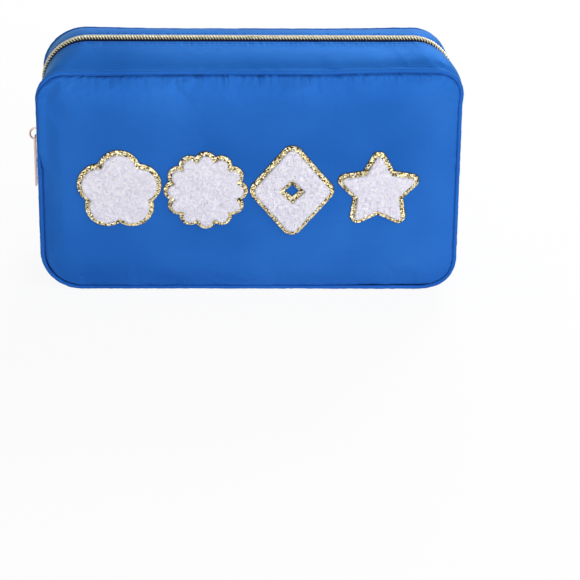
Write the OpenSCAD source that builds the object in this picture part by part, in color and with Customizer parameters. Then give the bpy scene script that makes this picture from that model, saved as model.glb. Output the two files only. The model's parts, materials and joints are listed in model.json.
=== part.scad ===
// Soft zipped case for a set of mahjong tiles: a boxed pouch of padded nylon that stands on its base,
// with a coil zip that runs up one side, over the top and down the other.
// +X is to the right seen from the front, -Y is the front, +Z is up; the origin is the centre of the base.

/* [Case] */
// Width across the piping
case_w = 267; // [230:1:300]
// Depth between the front and back seams
case_d = 76; // [64:1:96]
// Height from the base to the top of the closed zip
case_h = 158; // [150:1:180]
// How far the panel seams lie below the zip line
seam_drop = 10; // [8:0.5:13]
// Height of the panel seams above the base
seam_foot = 3; // [3:0.1:5]
// Radius of the panels' top corners
panel_top_r = 16; // [12:1:22]
// Radius of the back panel's top corners
back_top_r = 26.5; // [16:0.5:27]
// Radius of the panels' bottom corners
panel_bottom_r = 24; // [18:1:32]
// How far a panel swells out past its seam
panel_swell = 6; // [3:0.5:9]
// Width of the swelling edge all round a panel
panel_roll = 22; // [16:1:26]
// How far the side gusset bellies out below the zip ends
belly = 1.6; // [0:0.2:1.8]

/* [Fabric] */
// Thickness of the padded nylon of the gusset and zip bands
shell_t = 2.2; // [1.7:0.1:2.6]
// Thickness of a panel's padded nylon
panel_t = 2; // [1.6:0.1:2.6]
// Thickness of the lining
lining_t = 0.8; // [0.5:0.1:1.2]
// Diameter of the piping in the panel seams
piping_d = 2.4; // [2:0.1:3]

/* [Mouth] */
// Radius of the zip line at the top corners
zip_corner_r = 29; // [24:1:36]
// Height of the cross seams where the zip ends
cross_seam_z = 79; // [70:1:84]
// Half of the slot between the two zip bands
slot_half = 4.4; // [4.3:0.1:5]
// Half width of the zip tape
tape_half = 15; // [12:0.5:18]
// Thickness of the zip tape
tape_t = 0.8; // [0.5:0.1:1]
// Height of the zip's coil
coil_h = 2.4; // [1.8:0.1:2.6]
// Width of the closed coil
coil_w = 5.6; // [5:0.1:5.8]
// Pitch of the coil's turns on one stringer
coil_pitch = 1.6; // [1.5:0.1:2.2]

/* [Slider] */
// Height of the slider's middle when the zip is closed
slider_z = 94.2; // [92:0.1:98]
// Length of the slider
slider_l = 13; // [12:0.5:14]
// Width of the slider's nose
slider_w = 7.8; // [7.4:0.1:7.9]
// Thickness of each slider plate
plate_t = 1.3; // [1:0.1:1.6]
// Thickness of the crown's wire
crown_wire = 1.3; // [1:0.1:1.5]
// Outside height of the crown's loop
crown_h = 8.9; // [8.6:0.1:10]
// How far the crown stands out of the slider
crown_out = 7.4; // [7:0.1:8]
// How far below the slider's middle the crown's middle lies
crown_drop = 1.9; // [1:0.1:2]
// Length of the pull tab
pull_l = 34; // [26:0.5:36]
// Width of the pull tab
pull_w = 7; // [6:0.5:9]
// Thickness of the pull tab
pull_t = 1.1; // [0.8:0.1:1.3]

/* [Patches] */
// Gap between neighbouring patches
patch_gap = 2; // [1:0.5:6]
// Height of the patches' middles
patch_z = 73.5; // [70:0.5:80]
// Thickness of the glitter base
patch_base_t = 1.2; // [0.8:0.1:1.6]
// Thickness of the chenille pile
patch_pile_t = 2.8; // [2:0.1:3.5]
// Width of the glitter edge left showing round the pile
patch_edge = 2.8; // [2:0.1:3.5]

/* [Hidden] */

blue = [0.10, 0.34, 0.76];
deep_blue = [0.06, 0.16, 0.45];
tape_blue = [0.07, 0.18, 0.50];
gold = [0.80, 0.70, 0.45];
rose_gold = [0.80, 0.62, 0.50];
glitter_gold = [0.80, 0.66, 0.32];
pile_white = [0.95, 0.94, 0.97];

fit_gap = 0.3;                                 // clearance between pieces that move past each other
seam_step = 1.6;                               // the gusset's edge stands this far outside the panel's edge
hinge_rise = 3.3;                              // the same at the top, where the mouth folds past the piping
zip_inset = 0.6;                               // how far inside the gusset's edge the zip line lies at the sides
swell_power = 2.6;                             // how squarely the gusset swells between its two seams
panel_hw = case_w / 2 - piping_d;              // half width of a panel
panel_top = case_h - seam_drop;                // top of a panel
seam_y = case_d / 2;                           // distance of each seam from the middle
gusset_hw = panel_hw + seam_step;              // half width of the gusset at the seam
gusset_top = panel_top + hinge_rise;           // top of the gusset at the seam
gusset_foot = seam_foot - seam_step;           // bottom of the gusset at the seam
zip_hw = gusset_hw - zip_inset;                // half width at the zip line
mouth_hw = zip_hw - zip_corner_r - 3;          // the mouth's straight stretch ends here
flap_hw = mouth_hw - fit_gap;                  // half length of the part of a band that folds
coil_floor = shell_t;                          // depth of the tape's face below the gusset's face
inner_t = shell_t + lining_t;                  // depth of the lining's inner face

hinge_r = shell_t / 2;                         // rounded edge of a flap, on its fold
hinge_y = seam_y - fit_gap - hinge_r;          // fold line of a flap
hinge_z = gusset_top - hinge_r;

panel_flat_hw = panel_hw - panel_roll;          // half width of a panel's flat middle
path_steps = 9;                                // points round a corner of a band
foot_steps = 8;                                // points round a bottom corner
roll_steps = 5;                                // rings in a panel's swelling edge

// ---- Sections through the gusset. t runs from -1 at the front seam to 1 at the back seam ----

function swell(t) = 1 - pow(abs(t), swell_power);
function mix(a, b, s) = a + (b - a) * s;
function arch_hw(t) = mix(gusset_hw, zip_hw, swell(t));
function arch_top(t) = mix(gusset_top, case_h, swell(t));
function arch_r(t) = mix($top_r + seam_step, zip_corner_r, swell(t));
function arc(cx, cz, r, a0, a1, n) =
    [for (i = [0:n]) let (a = mix(a0, a1, i / n)) [cx + r * cos(a), cz + r * sin(a)]];

// One top corner of a band in the XZ plane, from the cross seam up the right side and round to the mouth
function corner_path(t, inset) =
    let (hw = arch_hw(t), top = arch_top(t), r = arch_r(t))
    concat(
        [[hw - inset, cross_seam_z]],
        arc(hw - r, top - r, r - inset, 0, 90, path_steps),
        [[mouth_hw, top - inset]]
    );

// The lower part of the gusset, from the right cross seam down, along the base and up to the left one
flat_t = 0.72;                                 // the base lies flat this far from the middle
side_steps = 4;                                // points down each side
function foot_z(t) = gusset_foot * pow(max(0, abs(t) - flat_t) / (1 - flat_t), 2);
function belly_at(t, s) = belly * (1 - t * t) * sin(180 * s);
function half_trough(t, inset) =
    let (hw = arch_hw(t), foot = foot_z(t), r = panel_bottom_r + seam_step, low = foot + r)
    concat(
        [for (i = [0:side_steps - 1]) let (s = i / side_steps)
            [hw - inset + belly_at(t, s), mix(cross_seam_z, low, s)]],
        arc(hw - r, low, r - inset, 0, -90, foot_steps)
    );
function trough_path(t, inset) =
    let (right = half_trough(t, inset))
    concat(right, [for (i = [len(right) - 1:-1:0]) [-right[i][0], right[i][1]]]);

// ---- Sheets: closed solids between two grids of points ----

function flat_list(grid) = [for (row = grid) for (p = row) p];

module sheet(outer, inner) {
    rows = len(outer);
    cols = len(outer[0]);
    n = rows * cols;
    function at(r, c) = r * cols + c;
    faces = concat(
        [for (r = [0:rows - 2]) for (c = [0:cols - 2]) each [
            [at(r, c), at(r, c + 1), at(r + 1, c + 1)],
            [at(r, c), at(r + 1, c + 1), at(r + 1, c)],
            [n + at(r, c), n + at(r + 1, c + 1), n + at(r, c + 1)],
            [n + at(r, c), n + at(r + 1, c), n + at(r + 1, c + 1)]
        ]],
        [for (c = [0:cols - 2]) each [
            [at(0, c), n + at(0, c + 1), at(0, c + 1)],
            [at(0, c), n + at(0, c), n + at(0, c + 1)],
            [at(rows - 1, c), at(rows - 1, c + 1), n + at(rows - 1, c + 1)],
            [at(rows - 1, c), n + at(rows - 1, c + 1), n + at(rows - 1, c)]
        ]],
        [for (r = [0:rows - 2]) each [
            [at(r, 0), at(r + 1, 0), n + at(r + 1, 0)],
            [at(r, 0), n + at(r + 1, 0), n + at(r, 0)],
            [at(r, cols - 1), n + at(r + 1, cols - 1), at(r + 1, cols - 1)],
            [at(r, cols - 1), n + at(r, cols - 1), n + at(r + 1, cols - 1)]
        ]]
    );
    polyhedron(points = concat(flat_list(outer), flat_list(inner)), faces = faces, convexity = 6);
}

// A grid over the gusset: one row for each t, at a depth below its face
function corner_grid(ts, inset) = [for (t = ts) [for (p = corner_path(t, inset)) [p[0], t * seam_y, p[1]]]];
function trough_grid(ts, inset) = [for (t = ts) [for (p = trough_path(t, inset)) [p[0], t * seam_y, p[1]]]];

slot_t = slot_half / seam_y;
tape_edge_t = tape_half / seam_y;
tape_mid_t = (slot_t + tape_edge_t) / 2;
tape_gap = 0.4;                                // half of the gap between the two tapes
lining_ts = [-1, -0.9, -0.76, -0.58, -tape_edge_t];
band_ts = concat(lining_ts, [-tape_mid_t, -slot_t]);
tape_ts = [-tape_edge_t, -tape_mid_t, -slot_t, -tape_gap / seam_y];
trough_ts = [-1, -0.93, -0.84, -flat_t, -0.36, 0, 0.36, flat_t, 0.84, 0.93, 1];

// What is made for the front right corner goes to the other corners by mirroring.
// The top corners at the back are rounder than the front ones
$top_r = panel_top_r;
module at_left() {
    mirror([1, 0, 0]) children();
}
module at_back() {
    $top_r = back_top_r;
    mirror([0, 1, 0]) children();
}

// ---- Gusset and zip bands ----

module band_corner() {
    color(blue) sheet(corner_grid(band_ts, 0), corner_grid(band_ts, shell_t));
}
module front_band_right() {
    band_corner();
}
module front_band_left() {
    at_left() band_corner();
}
module back_band_right() {
    at_back() band_corner();
}
module back_band_left() {
    at_back() at_left() band_corner();
}

module band_lining_corner() {
    color(deep_blue) sheet(corner_grid(lining_ts, shell_t), corner_grid(lining_ts, inner_t));
}
module front_band_lining_right() {
    band_lining_corner();
}
module front_band_lining_left() {
    at_left() band_lining_corner();
}
module back_band_lining_right() {
    at_back() band_lining_corner();
}
module back_band_lining_left() {
    at_back() at_left() band_lining_corner();
}

module base_gusset() {
    color(blue) sheet(trough_grid(trough_ts, 0), trough_grid(trough_ts, shell_t));
}
module base_lining() {
    color(deep_blue) sheet(trough_grid(trough_ts, shell_t), trough_grid(trough_ts, inner_t));
}

// Flat welt sewn over each cross seam, where the zip bands meet the gusset
welt_h = 2.4;                                  // height of a welt
welt_t = 0.9;                                  // thickness of a welt
welt_t_end = 0.9;                              // the welt stops this far towards the seams
trough_side = cross_seam_z - gusset_foot - panel_bottom_r - seam_step; // height of the gusset's straight side
module cross_welt() {
    ts = [-welt_t_end, -0.76, -0.58, -0.3, 0, 0.3, 0.58, 0.76, welt_t_end];
    function face(t, z) = [arch_hw(t) + (z < cross_seam_z ? belly_at(t, (cross_seam_z - z) / trough_side) : 0), z];
    section_z = [cross_seam_z + welt_h / 2, cross_seam_z, cross_seam_z - welt_h / 2];
    outer = [for (t = ts) [for (z = section_z) let (p = face(t, z)) [p[0] + welt_t, t * seam_y, p[1]]]];
    inner = [for (t = ts) [for (z = section_z) let (p = face(t, z)) [p[0] + 0.02, t * seam_y, p[1]]]];
    color(blue) sheet_down(outer, inner);
}

// The same as sheet, for rows of points that run downwards
module sheet_down(outer, inner) {
    sheet([for (row = outer) [for (i = [len(row) - 1:-1:0]) row[i]]],
        [for (row = inner) [for (i = [len(row) - 1:-1:0]) row[i]]]);
}
module right_cross_welt() {
    cross_welt();
}
module left_cross_welt() {
    at_left() cross_welt();
}

// ---- Panels ----

// A ring of points round a panel, drawn in by some distance, at a place in y
function panel_ring(inset, y) =
    let (
        s = inset / panel_roll,
        hw = panel_hw - inset, top = panel_top - inset, foot = seam_foot + inset,
        rt = mix($top_r, $top_r * 0.75, s), rb = mix(panel_bottom_r, panel_bottom_r * 0.6, s),
        right = concat(
            arc(hw - rb, foot + rb, rb, -90, 0, foot_steps),
            arc(hw - rt, top - rt, rt, 0, 90, foot_steps)
        )
    )
    [for (p = concat(right, [for (i = [len(right) - 1:-1:0]) [-right[i][0], right[i][1]]])) [p[0], y, p[1]]];

function swell_y(inset) = -seam_y - panel_swell * sin(90 * inset / panel_roll);
panel_insets = concat([0], [for (i = [0:roll_steps]) mix(seam_step, panel_roll, i / roll_steps)]);

// A swelling skin round the rings at the given insets; front and back are measured from the panel's inner face
module panel_skin(insets, front, back) {
    outer = [for (s = insets) panel_ring(s, swell_y(s) - front)];
    inner = [for (s = insets) panel_ring(s, swell_y(s) + back)];
    rows = len(outer);
    cols = len(outer[0]);
    n = rows * cols;
    function at(r, c) = r * cols + c % cols;
    faces = concat(
        [for (r = [0:rows - 2]) for (c = [0:cols - 1]) each [
            [at(r, c), at(r + 1, c + 1), at(r, c + 1)],
            [at(r, c), at(r + 1, c), at(r + 1, c + 1)],
            [n + at(r, c), n + at(r, c + 1), n + at(r + 1, c + 1)],
            [n + at(r, c), n + at(r + 1, c + 1), n + at(r + 1, c)]
        ]],
        [for (c = [0:cols - 1]) each [
            [at(0, c), at(0, c + 1), n + at(0, c + 1)],
            [at(0, c), n + at(0, c + 1), n + at(0, c)]
        ]],
        [[for (c = [cols - 1:-1:0]) at(rows - 1, c)], [for (c = [0:cols - 1]) n + at(rows - 1, c)]]
    );
    polyhedron(points = concat(flat_list(outer), flat_list(inner)), faces = faces, convexity = 6);
}

module front_panel() {
    color(blue) panel_skin(panel_insets, panel_t, 0);
}
module back_panel() {
    at_back() front_panel();
}
module front_lining() {
    color(deep_blue) panel_skin([for (i = [1:len(panel_insets) - 1]) panel_insets[i]], 0, lining_t);
}
module back_lining() {
    at_back() front_lining();
}

// Round cord in the seam between a panel and the gusset
module front_piping() {
    r = piping_d / 2;
    y = -seam_y - r;
    hw = panel_hw + r;
    top = panel_top + r;
    foot = seam_foot - r;
    rt = $top_r + r;
    rb = panel_bottom_r + r;
    module bend(x, z, bend_r, from) {
        translate([x, y, z]) rotate([90, 0, 0]) rotate([0, 0, from])
            rotate_extrude(angle = 90, $fn = 48) translate([bend_r, 0]) circle(r = r, $fn = 32);
    }
    module run(x, z, turn, length) {
        translate([x, y, z]) rotate(turn) cylinder(r = r, h = length, $fn = 32);
    }
    color(blue) union() {
        bend(hw - rt, top - rt, rt, 0);
        bend(-hw + rt, top - rt, rt, 90);
        bend(-hw + rb, foot + rb, rb, 180);
        bend(hw - rb, foot + rb, rb, 270);
        run(-hw + rt, top, [0, 90, 0], 2 * (hw - rt));
        run(-hw + rb, foot, [0, 90, 0], 2 * (hw - rb));
        run(hw, foot + rb, [0, 0, 0], top - foot - rt - rb);
        run(-hw, foot + rb, [0, 0, 0], top - foot - rt - rb);
    }
}
module back_piping() {
    at_back() front_piping();
}

// ---- Mouth flaps: the straight top stretches of the two bands, which fold outwards ----

module along_mouth() {
    translate([-flap_hw, 0, 0]) rotate([90, 0, 90]) linear_extrude(2 * flap_hw) children();
}

function flap_section(ts, top_inset, bottom_inset) = concat(
    [for (t = ts) [t * seam_y, arch_top(t) - top_inset]],
    [for (i = [len(ts) - 1:-1:0]) [ts[i] * seam_y, arch_top(ts[i]) - bottom_inset]]
);

module front_flap_band() {
    n = len(band_ts) - 1;
    section = concat(
        [[-hinge_y, hinge_z + hinge_r]],
        [for (i = [1:n]) [band_ts[i] * seam_y, arch_top(band_ts[i])]],
        [for (i = [n:-1:1]) [band_ts[i] * seam_y, arch_top(band_ts[i]) - shell_t]],
        [[-hinge_y, hinge_z - hinge_r]]
    );
    color(blue) union() {
        along_mouth() polygon(section);
        intersection() {
            translate([-flap_hw, -hinge_y, hinge_z]) rotate([0, 90, 0]) cylinder(r = hinge_r, h = 2 * flap_hw, $fn = 32);
            translate([-flap_hw, -hinge_y - 2 * hinge_r, hinge_z - 2 * hinge_r])
                cube([2 * flap_hw, 2 * hinge_r, 4 * hinge_r]);
        }
    }
}
module back_flap_band() {
    at_back() front_flap_band();
}

module front_flap_lining() {
    ts = [for (i = [1:len(lining_ts) - 1]) lining_ts[i]];
    color(deep_blue) along_mouth() polygon(flap_section(ts, shell_t, inner_t));
}
module back_flap_lining() {
    at_back() front_flap_lining();
}

module front_flap_tape() {
    color(tape_blue) along_mouth() polygon(flap_section(tape_ts, coil_floor, coil_floor + tape_t));
}
module back_flap_tape() {
    at_back() front_flap_tape();
}

// ---- Zip tape ----

module tape_corner() {
    sheet(corner_grid(tape_ts, coil_floor), corner_grid(tape_ts, coil_floor + tape_t));
}

// Below the closed coil the two tapes part round the slider's diamond
part_half = 1.7;                               // half of the gap between the parted tapes
coil_end_z = slider_z - 1;                     // the closed coil ends inside the slider
module tape_parted() {
    difference() {
        tape_corner();
        translate([tape_x - 2 * tape_t, -part_half, cross_seam_z - 1])
            cube([3 * tape_t, 2 * part_half, coil_end_z - cross_seam_z + 1]);
    }
}
module front_tape_right() {
    color(tape_blue) tape_corner();
}
module front_tape_left() {
    color(tape_blue) at_left() tape_parted();
}
module back_tape_right() {
    at_back() front_tape_right();
}
module back_tape_left() {
    at_back() front_tape_left();
}

// ---- Zip coil: each stringer's turns reach past the middle, between the other's ----

turn_w = 0.3 * coil_pitch;                     // thickness of one turn
turn_reach = coil_w / 6;                       // how far a turn passes the middle
spine_edge = turn_reach + 0.35;                // inner edge of the coil's spine
coil_z = case_h - coil_floor;                  // the coil lies on the tape
corner_z = case_h - zip_corner_r;              // height where the top corners begin
stop_room = 8;                                 // room for the bottom stop above the cross seam
right_coil_z = cross_seam_z + stop_room;       // the right end of the coil

// Outline of one stringer: a spine with turns that stand out of it towards +Y
module comb(length, start) {
    translate([0, -coil_w / 2]) square([length, coil_w / 2 - spine_edge]);
    for (x = [start:coil_pitch:length - turn_w])
        translate([x, -coil_w / 2]) square([turn_w, coil_w / 2 + turn_reach]);
}

// Spine and turns round a top corner, up one side from a height, and on to the mouth
module coil_corner(from_z, phase) {
    floor_r = zip_corner_r - coil_floor;
    turns = floor(floor_r * PI / 2 / coil_pitch);
    turn_angle = 90 / turns;
    union() {
        translate([zip_hw - zip_corner_r, 0, corner_z]) rotate([90, 0, 0]) {
            rotate_extrude(angle = 90, $fn = 64)
                translate([floor_r, spine_edge]) square([coil_h, coil_w / 2 - spine_edge]);
            for (i = [0:turns - 1]) rotate([0, 0, (i + phase) * turn_angle])
                translate([floor_r + 0.05, -turn_w / 2, -turn_reach])
                    cube([coil_h - 0.1, turn_w, coil_w / 2 + turn_reach - 0.05]);
        }
        translate([zip_hw - coil_floor + coil_h, 0, from_z]) rotate([0, -90, 0])
            linear_extrude(coil_h) comb(corner_z - from_z, phase * coil_pitch - turn_w / 2);
        translate([mouth_hw, 0, coil_z])
            linear_extrude(coil_h) comb(3, phase * coil_pitch - turn_w / 2);
    }
}
module front_coil_right() {
    color(gold) coil_corner(right_coil_z, 0.25);
}
module front_coil_left() {
    color(gold) at_left() coil_corner(coil_end_z, 0.25);
}
module back_coil_right() {
    color(gold) at_back() coil_corner(right_coil_z, 0.75);
}
module back_coil_left() {
    color(gold) at_back() at_left() coil_corner(coil_end_z, 0.75);
}

module flap_coil(phase) {
    color(gold) translate([-flap_hw, 0, coil_z]) linear_extrude(coil_h)
        comb(2 * flap_hw, phase * coil_pitch - turn_w / 2);
}
module front_flap_coil() {
    flap_coil(0.3);
}
module back_flap_coil() {
    at_back() flap_coil(0.8);
}

// Stops: clamps on the edges of the parted tapes at the left end, and one block over both at the right end
stop_l = 3.4;                                  // length of a stop
tape_x = zip_hw - coil_floor;                  // outer face of the tape on the side
module zip_top_stops() {
    z = slider_z - slider_l / 2 - 0.4 - stop_l;
    module stop() {
        difference() {
            translate([tape_x - tape_t - 0.7, part_half - 0.5, z]) cube([tape_t + 2.2, 2.2, stop_l]);
            translate([tape_x - tape_t - 0.02, part_half - 0.02, z - 1]) cube([tape_t + 0.04, 3, stop_l + 2]);
        }
    }
    color(gold) at_left() {
        stop();
        mirror([0, 1, 0]) stop();
    }
}
module zip_bottom_stop() {
    z = right_coil_z - 0.4 - stop_l;
    color(gold) translate([tape_x + 0.01, -coil_w / 2 + 0.4, z]) cube([1.9, coil_w - 0.8, stop_l]);
}

// ---- Slider, on the left side: plates outside and inside of the zip, and a diamond between them ----

top_plate_x = tape_x + coil_h + fit_gap;       // inner face of the outer plate
top_face_x = top_plate_x + plate_t;            // outer face of the outer plate
low_plate_x = tape_x - tape_t - fit_gap;       // outer face of the inner plate
flange_t = slider_w / 2 - coil_w / 2 - fit_gap;

module slider_outline() {
    corner = 2;
    square([slider_l - 2 * corner, slider_w], center = true);
    square([slider_l, slider_w - 2 * corner], center = true);
    for (sx = [-1, 1]) for (sy = [-1, 1])
        translate([sx * (slider_l / 2 - corner), sy * (slider_w / 2 - corner)]) circle(r = corner, $fn = 32);
}

module slider_body() {
    module plate(x) {
        translate([x + plate_t, 0, slider_z]) rotate([0, -90, 0]) linear_extrude(plate_t) slider_outline();
    }
    flange_l = slider_l - 4;
    color(rose_gold) at_left() union() {
        plate(top_plate_x);
        plate(low_plate_x - plate_t);
        for (side = [0, 1]) mirror([0, side, 0])
            translate([tape_x + fit_gap, slider_w / 2 - flange_t, slider_z - flange_l / 2])
                cube([coil_h + 0.1, flange_t, flange_l]);
        translate([low_plate_x - 0.1, -1.1, slider_z - slider_l / 2 + 1])
            cube([top_plate_x - low_plate_x + 0.2, 2.2, slider_l / 2 - 2.6]);
    }
}

// The crown is a wire loop that stands on the outer plate
crown_r = 4.2;                                 // outside radius of the loop's corners
crown_z = slider_z - crown_drop;               // height of the loop's middle
module slider_crown() {
    r = crown_wire / 2;
    bend_r = crown_r - r;
    half = crown_h / 2 - r;
    color(rose_gold) at_left() translate([top_face_x, 0, crown_z]) union() {
        for (side = [0, 1]) mirror([0, 0, side]) {
            translate([0, 0, half]) rotate([0, 90, 0]) cylinder(r = r, h = crown_out - crown_r, $fn = 32);
            translate([crown_out - crown_r, 0, half - bend_r]) rotate([90, 0, 0])
                rotate_extrude(angle = 90, $fn = 48) translate([bend_r, 0]) circle(r = r, $fn = 32);
        }
        translate([crown_out - r, 0, -(half - bend_r)]) cylinder(r = r, h = 2 * (half - bend_r), $fn = 32);
    }
}

// The pull hangs by its bar in the middle of the crown and swings on it
bar_x = top_face_x + crown_out / 2;
bar_z = crown_z - crown_h / 2 + crown_wire + fit_gap + pull_t / 2;
pull_hole_l = crown_h + 0.4;
pull_hole_w = crown_wire + 1.4;
module pull_tab() {
    end_r = 2.2;
    color(rose_gold) at_left() translate([bar_x, 0, bar_z]) union() {
        rotate([90, 0, 0]) translate([0, 0, -pull_w / 2]) cylinder(r = pull_t / 2, h = pull_w, $fn = 32);
        translate([pull_t / 2, 0, 0]) rotate([0, -90, 0]) linear_extrude(pull_t) difference() {
            union() {
                translate([-pull_l + end_r, -pull_w / 2]) square([pull_l - end_r, pull_w]);
                translate([-pull_l, -pull_w / 2 + end_r]) square([end_r, pull_w - 2 * end_r]);
                for (side = [-1, 1])
                    translate([-pull_l + end_r, side * (pull_w / 2 - end_r)]) circle(r = end_r, $fn = 32);
            }
            translate([-pull_hole_l, -pull_hole_w / 2]) square([pull_hole_l - pull_t / 2, pull_hole_w]);
            translate([-pull_l + 6, 0]) circle(r = 1.5, $fn = 32);
        }
    }
}

// ---- Chenille patches on the front panel's flat middle ----

patch_y = -seam_y - panel_swell - panel_t;     // the panel's front face
patch_w = (2 * panel_flat_hw - 2 - 3 * patch_gap) / 4;
patch_step = patch_w + patch_gap;
unit = patch_w / 2;                            // half width of a patch

module patch(place, depth, thickness) {
    translate([(place - 1.5) * patch_step, patch_y - depth, patch_z]) rotate([90, 0, 0])
        linear_extrude(thickness) children();
}
module patch_base(place) {
    color(glitter_gold) patch(place, 0, patch_base_t) children();
}
module patch_pile(place) {
    color(pile_white) patch(place, patch_base_t, patch_pile_t) children();
}

// Five round petals about a round heart
module blossom(edge) {
    petal = unit * 0.52 - edge;
    reach = (unit - unit * 0.52) / cos(18);
    for (i = [0:4]) rotate(90 + i * 72) translate([reach, 0]) circle(r = petal, $fn = 48);
    circle(r = unit * 0.5, $fn = 48);
}
// A disc with twelve scallops
module roundel(edge) {
    scallop = unit * 0.25 - edge * 0.9;
    reach = unit * 0.75;
    for (i = [0:11]) rotate(i * 30) translate([reach, 0]) circle(r = scallop, $fn = 48);
    circle(r = reach - edge * 0.1, $fn = 64);
}
// A tall lozenge with rounded corners and a window
module lozenge(edge) {
    corner = unit * 0.26;
    tall = unit * 1.16;
    half_w = unit - corner;
    half_h = tall - corner;
    slope = atan2(half_h, half_w);
    r = corner - edge;
    difference() {
        union() {
            polygon([
                [half_w + r * sin(slope), r * cos(slope)], [r * sin(slope), half_h + r * cos(slope)],
                [-r * sin(slope), half_h + r * cos(slope)], [-half_w - r * sin(slope), r * cos(slope)],
                [-half_w - r * sin(slope), -r * cos(slope)], [-r * sin(slope), -half_h - r * cos(slope)],
                [r * sin(slope), -half_h - r * cos(slope)], [half_w + r * sin(slope), -r * cos(slope)]
            ]);
            for (i = [-1, 1]) {
                translate([i * half_w, 0]) circle(r = r, $fn = 48);
                translate([0, i * half_h]) circle(r = r, $fn = 48);
            }
        }
        rotate(45) square(2 * (unit * 0.13 + edge), center = true);
    }
}
// A five-pointed star with round points
module star(edge) {
    tip = unit * 1.2;
    waist = unit * 0.62;
    half_angle = atan2(waist * sin(36), tip - waist * cos(36));
    round_r = unit * 0.17;
    middle = tip - round_r / sin(half_angle);
    shrink = 1 - edge / (tip * sin(half_angle));
    r = round_r - edge;
    polygon([for (i = [0:4]) let (a = 90 + i * 72) each [
        [middle * cos(a) + r * cos(a - 90 + half_angle), middle * sin(a) + r * sin(a - 90 + half_angle)],
        [middle * cos(a) + r * cos(a + 90 - half_angle), middle * sin(a) + r * sin(a + 90 - half_angle)],
        [waist * shrink * cos(a + 36), waist * shrink * sin(a + 36)]
    ]]);
    for (i = [0:4]) rotate(90 + i * 72) translate([middle, 0]) circle(r = r, $fn = 32);
}

module blossom_patch_base() {
    patch_base(0) blossom(0);
}
module blossom_patch_pile() {
    patch_pile(0) blossom(patch_edge);
}
module roundel_patch_base() {
    patch_base(1) roundel(0);
}
module roundel_patch_pile() {
    patch_pile(1) roundel(patch_edge);
}
module lozenge_patch_base() {
    patch_base(2) lozenge(0);
}
module lozenge_patch_pile() {
    patch_pile(2) lozenge(patch_edge);
}
module star_patch_base() {
    patch_base(3) star(0);
}
module star_patch_pile() {
    patch_pile(3) star(patch_edge);
}

front_panel();
back_panel();
base_gusset();
front_band_left();
front_band_right();
back_band_left();
back_band_right();
front_piping();
back_piping();
front_lining();
back_lining();
base_lining();
front_band_lining_left();
front_band_lining_right();
back_band_lining_left();
back_band_lining_right();
front_tape_left();
front_tape_right();
back_tape_left();
back_tape_right();
front_coil_left();
front_coil_right();
back_coil_left();
back_coil_right();
zip_top_stops();
zip_bottom_stop();
left_cross_welt();
right_cross_welt();
front_flap_band();
front_flap_lining();
front_flap_tape();
front_flap_coil();
back_flap_band();
back_flap_lining();
back_flap_tape();
back_flap_coil();
slider_body();
slider_crown();
pull_tab();
blossom_patch_base();
blossom_patch_pile();
roundel_patch_base();
roundel_patch_pile();
lozenge_patch_base();
lozenge_patch_pile();
star_patch_base();
star_patch_pile();
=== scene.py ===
"""A soft zipped mahjong case: padded satin nylon with piped seams, a gold coil zip over the top and four chenille
patches with glitter edges on the front.

Lengths are in millimetres in the frame of the CAD model, and become metres where a mesh is made.
x runs to the right, y to the back and z up."""

import json
import math

import bpy
import bmesh
import numpy as np
from mathutils import Matrix, Vector

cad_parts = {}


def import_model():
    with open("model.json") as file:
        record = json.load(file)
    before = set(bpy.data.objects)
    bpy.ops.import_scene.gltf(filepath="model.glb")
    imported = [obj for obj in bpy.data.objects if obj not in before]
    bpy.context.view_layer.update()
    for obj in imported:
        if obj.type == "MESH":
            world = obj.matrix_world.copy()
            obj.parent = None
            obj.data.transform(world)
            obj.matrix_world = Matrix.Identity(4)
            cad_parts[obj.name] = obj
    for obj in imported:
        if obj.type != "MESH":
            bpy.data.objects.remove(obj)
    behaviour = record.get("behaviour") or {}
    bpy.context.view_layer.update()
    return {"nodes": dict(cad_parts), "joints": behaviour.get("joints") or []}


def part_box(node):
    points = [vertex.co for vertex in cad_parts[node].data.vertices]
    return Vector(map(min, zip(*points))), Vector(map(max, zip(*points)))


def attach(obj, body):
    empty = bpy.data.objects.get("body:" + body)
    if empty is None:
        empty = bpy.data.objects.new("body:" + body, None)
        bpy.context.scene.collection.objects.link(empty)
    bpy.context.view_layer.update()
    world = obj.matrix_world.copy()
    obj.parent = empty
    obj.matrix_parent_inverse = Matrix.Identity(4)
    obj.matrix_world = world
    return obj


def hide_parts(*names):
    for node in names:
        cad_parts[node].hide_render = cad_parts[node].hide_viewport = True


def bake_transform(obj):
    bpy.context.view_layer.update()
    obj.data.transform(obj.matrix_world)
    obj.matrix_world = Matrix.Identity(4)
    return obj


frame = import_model()


# ---- Sizes, read from the CAD frame ----

def box_mm(node):
    """Lowest and highest corner of a CAD node, in millimetres."""
    low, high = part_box(node)
    return [1000 * c for c in low], [1000 * c for c in high]


piping_low, piping_high = box_mm("front_piping")
band_low, band_high = box_mm("front_band_right")
slider_low, slider_high = box_mm("slider_body")

PIPING = piping_high[1] - piping_low[1]            # thickness of the piping
SEAM_Y = -piping_high[1]                           # distance of the panel seams from the middle
PANEL_HW = piping_high[0] - PIPING                 # half width of a panel
PANEL_TOP = piping_high[2] - PIPING
PANEL_FOOT = piping_low[2] + PIPING
ZIP_TOP = band_high[2]                             # height of the zip bands in the middle, below the coil's top
CROSS_Z = band_low[2]                              # height of the cross seams at the zip's ends
SLOT = -band_high[1] + 0.8                         # half of the slot between the bands' turned edges
GUSSET_HW = band_high[0]
ZIP_HW = GUSSET_HW - 1.4
TAPE_X = GUSSET_HW - 2.8                           # outer face of the tape where the slider runs
HINGE_Y = -1000 * next(j for j in frame["joints"] if j["name"] == "front_mouth")["pos_m"][1]
SLIDER_Z = (slider_low[2] + slider_high[2]) / 2

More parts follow.
